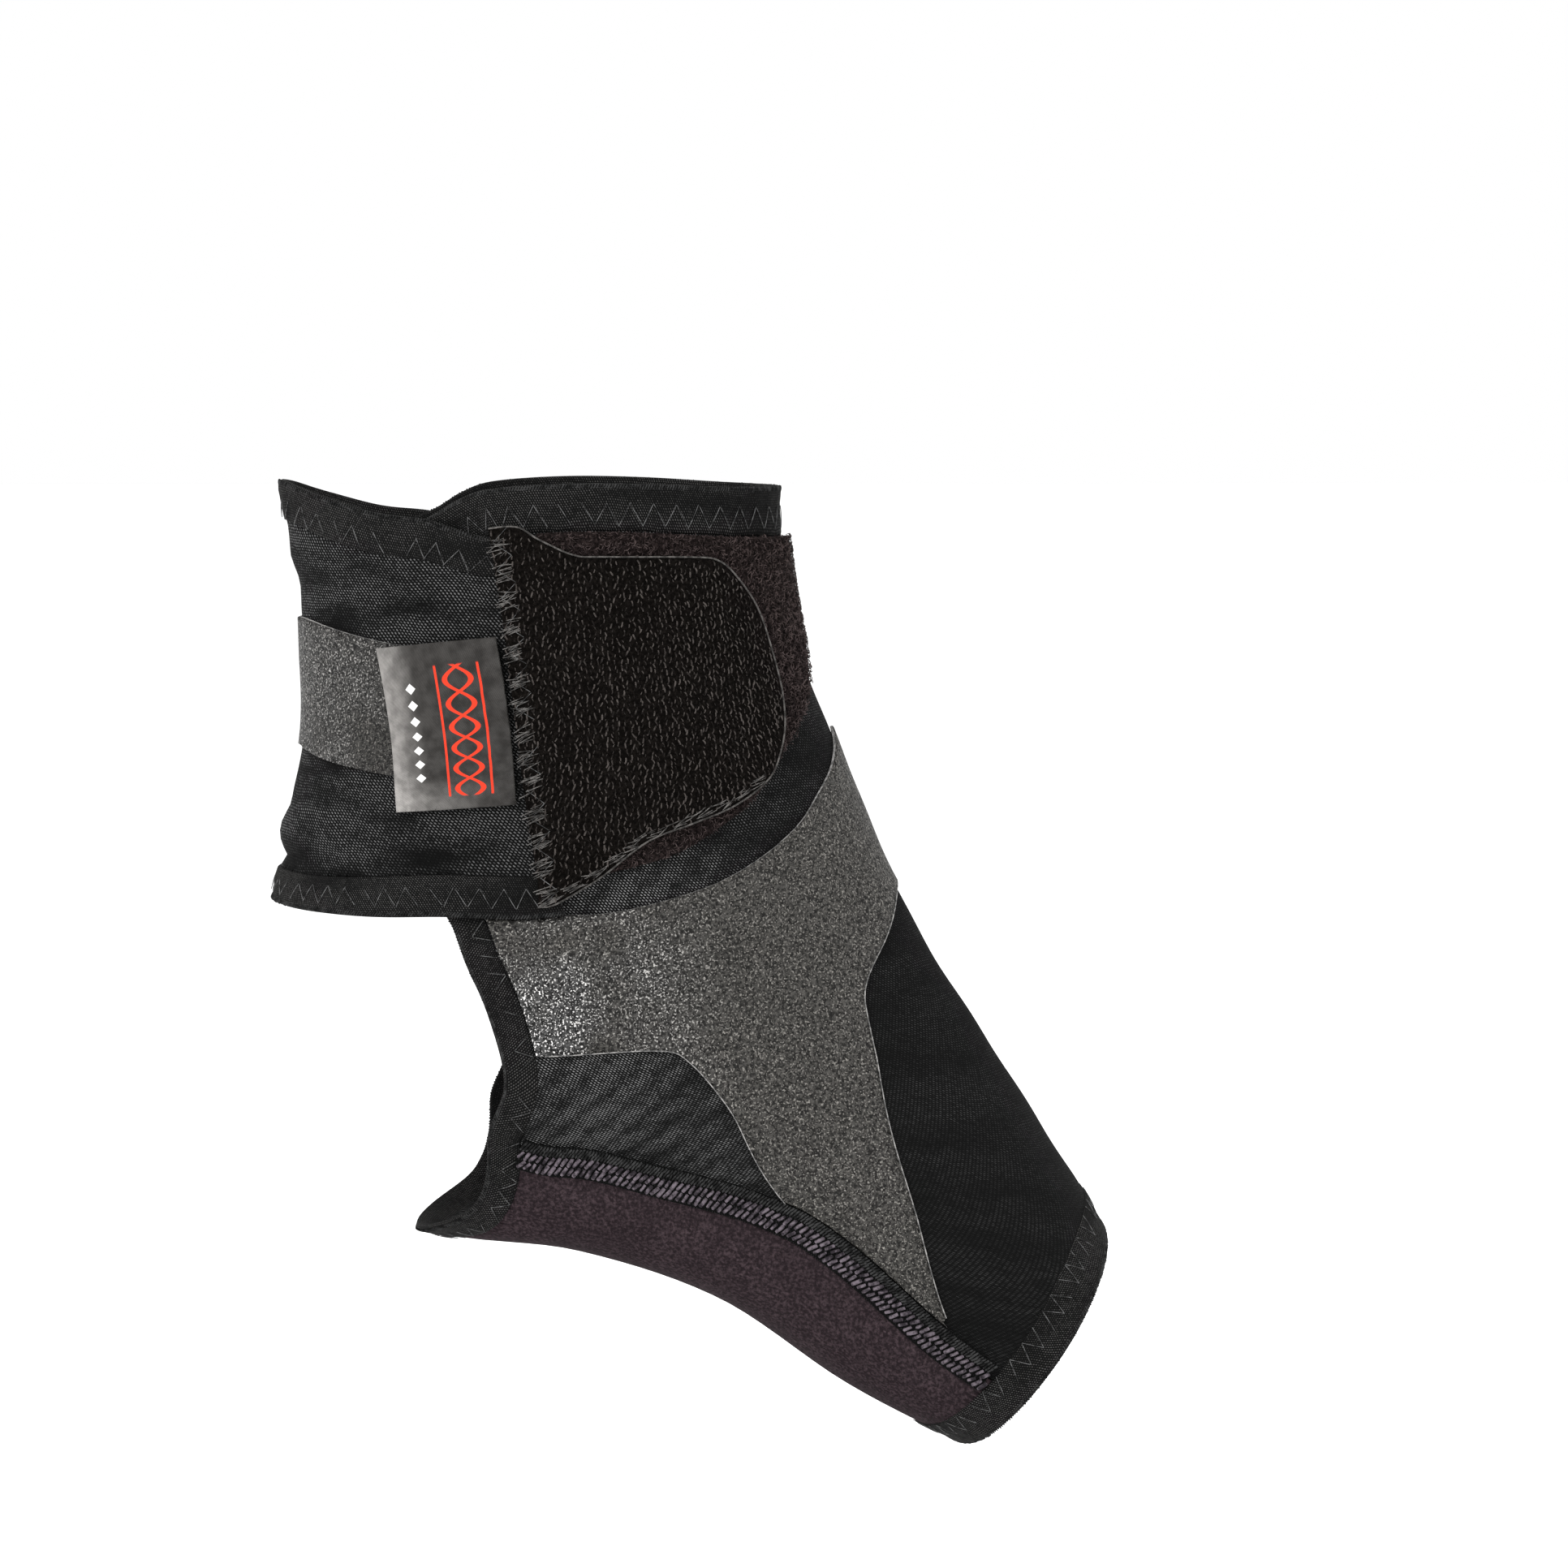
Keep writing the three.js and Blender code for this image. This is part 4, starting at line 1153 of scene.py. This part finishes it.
def make_loop_panel():
    hem = ring_line(top_ring, TOP_HEM + 0.05)

    def keep(plan):
        return within(plan, loop_outline) & (plan[:, 1] > row_at(plan, hem))

    borders = [line(run) for run in (LOOP_TOP, LOOP_EDGE, LOOP_BACK)] + [cut(hem, -12, 110)]
    spot = (ON_SLEEVE - 0.2, ON_LOOP - 0.35)
    piece = sheet("loop_felt", borders, keep, *spot, [loop_pile] * 3, sleeve_folds, 0.6, 1.6)
    worn(piece, ["loop_panel"])

    def shown(plan):
        near = distance_to(plan, [tab_outline]) < 2.0
        return keep(plan) & (~within(plan, tab_outline) | near)

    plan = scatter(shown, (-8, 0.95), (101, 5.4), 0.7, 0.034, 21, 0.9)
    chance = np.random.default_rng(4)
    run = directed(plan, chance.uniform(0, 360, len(plan)))
    given = {"Length": 0.85 * MM, "Thickness": 0.14 * MM, "Arch": 0.4 * MM, "Steps": 3, "Sides": 3}
    given |= {"Turn": 3.0, "Tilt": 0.75, "Spread": 0.4, "Seed": 31, "Yarn": fuzz_yarn}
    height = ON_LOOP - 0.3 + sleeve_folds(plan)
    worn(yarns("loop_fuzz", above(plan, height), run, outward(plan), **given), [])
    return piece


def make_tab():
    borders = [line(TAB_TOP), line(TAB_BACK)]
    spot = (TAB_BASE, TAB_BASE + 1.05)
    finishes = [hook_pile, hook_pile, edge_yarn]
    piece = sheet("tab_felt", borders, inside_of(tab_outline), *spot, finishes, tab_folds, 0.35, 1.5)
    worn(piece, ["hook_tab"])

    def inside(plan):
        return within(plan, tab_outline) & (distance_to(plan, [line(TAB_TOP)]) > 0.5)

    plan = scatter(inside, (30, 0.9), (102, 5.5), 1.3, 0.066, 8, 0.3)
    height = TAB_BASE + 1.0 + tab_folds(plan)
    given = {"Length": 0.78 * MM, "Thickness": 0.26 * MM, "Arch": 0.2 * MM, "Steps": 2, "Sides": 4}
    given |= {"Turn": 0.6, "Tilt": 0.3, "Spread": 0.45, "Seed": 17, "Yarn": tuft_yarn}
    tufts = yarns("tab_tufts", above(plan, height), directed(plan, 90), outward(plan), **given)
    worn(tufts, [])

    rim = even(line(TAB_TOP), 0.8)
    cord = yarn_profile(0.12, 0.98, 0.17, 6)
    edge = band("tab_edge_yarn", rim, cord, False, TAB_BASE, [edge_yarn], tab_folds)
    worn(edge, [])

    back = even(line(TAB_BACK), 1.0)
    chance = np.random.default_rng(12)
    starts, angles = [], []
    # The zigzag draws its yarn into a small fan at each turn, all pointing up and forwards. Each edge
    # has its line, its pitch, the threads in a fan, and how far left of the line they start, which
    # is negative because the tab lies to the right.
    edges = [(line(TAB_BACK), 5.2, 16, (-2.3, -0.5)), (line(TAB_TOP[-8:]), 4.6, 8, (-1.6, -0.3))]
    for edge_line, pitch, threads, reach in edges:
        knots = even(edge_line, pitch)
        for knot, after in zip(knots, knots[1:]):
            for _ in range(threads):
                share = chance.uniform(0, 0.62)
                start = moved(np.vstack([knot, after]), chance.uniform(*reach))[0]
                starts.append(start + (after - knot) * share)
                angles.append(205 - 22 * share + chance.normal(0, 9))
    plan = np.array(starts)
    run = directed(plan, np.array(angles))
    given = {"Length": 2.6 * MM, "Thickness": 0.14 * MM, "Arch": 0.3 * MM, "Steps": 4, "Sides": 4}
    given |= {"Turn": 0.12, "Tilt": 0.1, "Spread": 0.4, "Seed": 23, "Yarn": fan_yarn}
    fans = yarns("tab_fringe", above(plan, TAB_BASE + 1.0 + tab_folds(plan)), run, outward(plan), **given)
    worn(fans, [])
    stitch = zigzag("tab_zigzag", back, -0.5, -3.4, 5.2, TAB_BASE + 1.08, False, tab_folds, 0.1, 9)
    worn(stitch, [])
    return piece


LABEL_SIZE = (25.4, 31.5)


def label_place(plan):
    """How far a point of the label lies from its back edge and from its top edge, in millimetres."""
    (top_left, left), (top_right, right), (low_right, right_low), (low_left, left_low) = LABEL_OUTLINE
    s = t = np.full(len(plan), 0.5)
    for _ in range(6):
        high, low = top_left + (top_right - top_left) * s, low_left + (low_right - low_left) * s
        t = (plan[:, 1] - high) / (low - high)
        start, end = left + (left_low - left) * t, right + (right_low - right) * t
        s = (plan[:, 0] - start) / (end - start)
    return np.stack([s * LABEL_SIZE[0], t * LABEL_SIZE[1]], -1)


def label_folds(plan):
    """The label is held at its two sewn ends and puckers between the stitches."""
    x, y = label_place(plan).T
    near = np.clip((x - 13) / 12, 0, 1) ** 2
    puckers = near * (0.35 * np.sin(y * 1.55 + np.sin(y * 0.6)) + 0.2 * np.sin(y * 0.7))
    belly = 0.5 * np.sin(np.pi * np.clip(x / 25, 0, 1)) * np.sin(np.pi * np.clip(y / 31, 0, 1))
    return strap_folds(plan) + puckers + belly + 0.3


def make_label():
    corners = np.array(LABEL_OUTLINE)[:, ::-1]
    ring = np.vstack([corners, corners[:1]])
    borders = [np.linspace(a, b, 24) for a, b in zip(ring, ring[1:])]
    spot = (ON_STRAP_FILM - INTO_GAP, ON_STRAP_FILM + 0.3)
    finishes = [label_satin, label_satin, edge_yarn]
    keep = inside_of(corners)
    piece = sheet("label_cloth", borders, keep, *spot, finishes, label_folds, 0.15, 0.9, (), label_place)
    return worn(piece, ["side_label"])


# floor


def make_floor():
    size = 9.0
    mesh = bpy.data.meshes.new("studio_floor")
    corners = [(-size, -size, FLOOR), (size, -size, FLOOR), (size, size, FLOOR), (-size, size, FLOOR)]
    mesh.from_pydata(corners, [], [(0, 1, 2, 3)])
    f = Finish("studio_floor", roughness=0.9, specular_ior_level=0.1)
    tone = f.noise(f.at_object(), 3.0, 2.0)
    mesh.materials.append(f.wear(f.mix(tone, (0.965, 0.965, 0.965), (0.98, 0.98, 0.98))))
    floor = bpy.data.objects.new("studio_floor", mesh)
    bpy.context.scene.collection.objects.link(floor)


make_floor()
make_hems()
sleeve_cloth, sole_cloth, strap_cloth = make_sleeve(), make_sole(), make_strap()
make_seam("medial", "medial_sole_seam")
make_seam("lateral", "lateral_sole_seam")
foot_film, strap_film = make_foot_film(), make_strap_film()
loop_felt, tab_felt, label_cloth = make_loop_panel(), make_tab(), make_label()


bpy.context.view_layer.update()
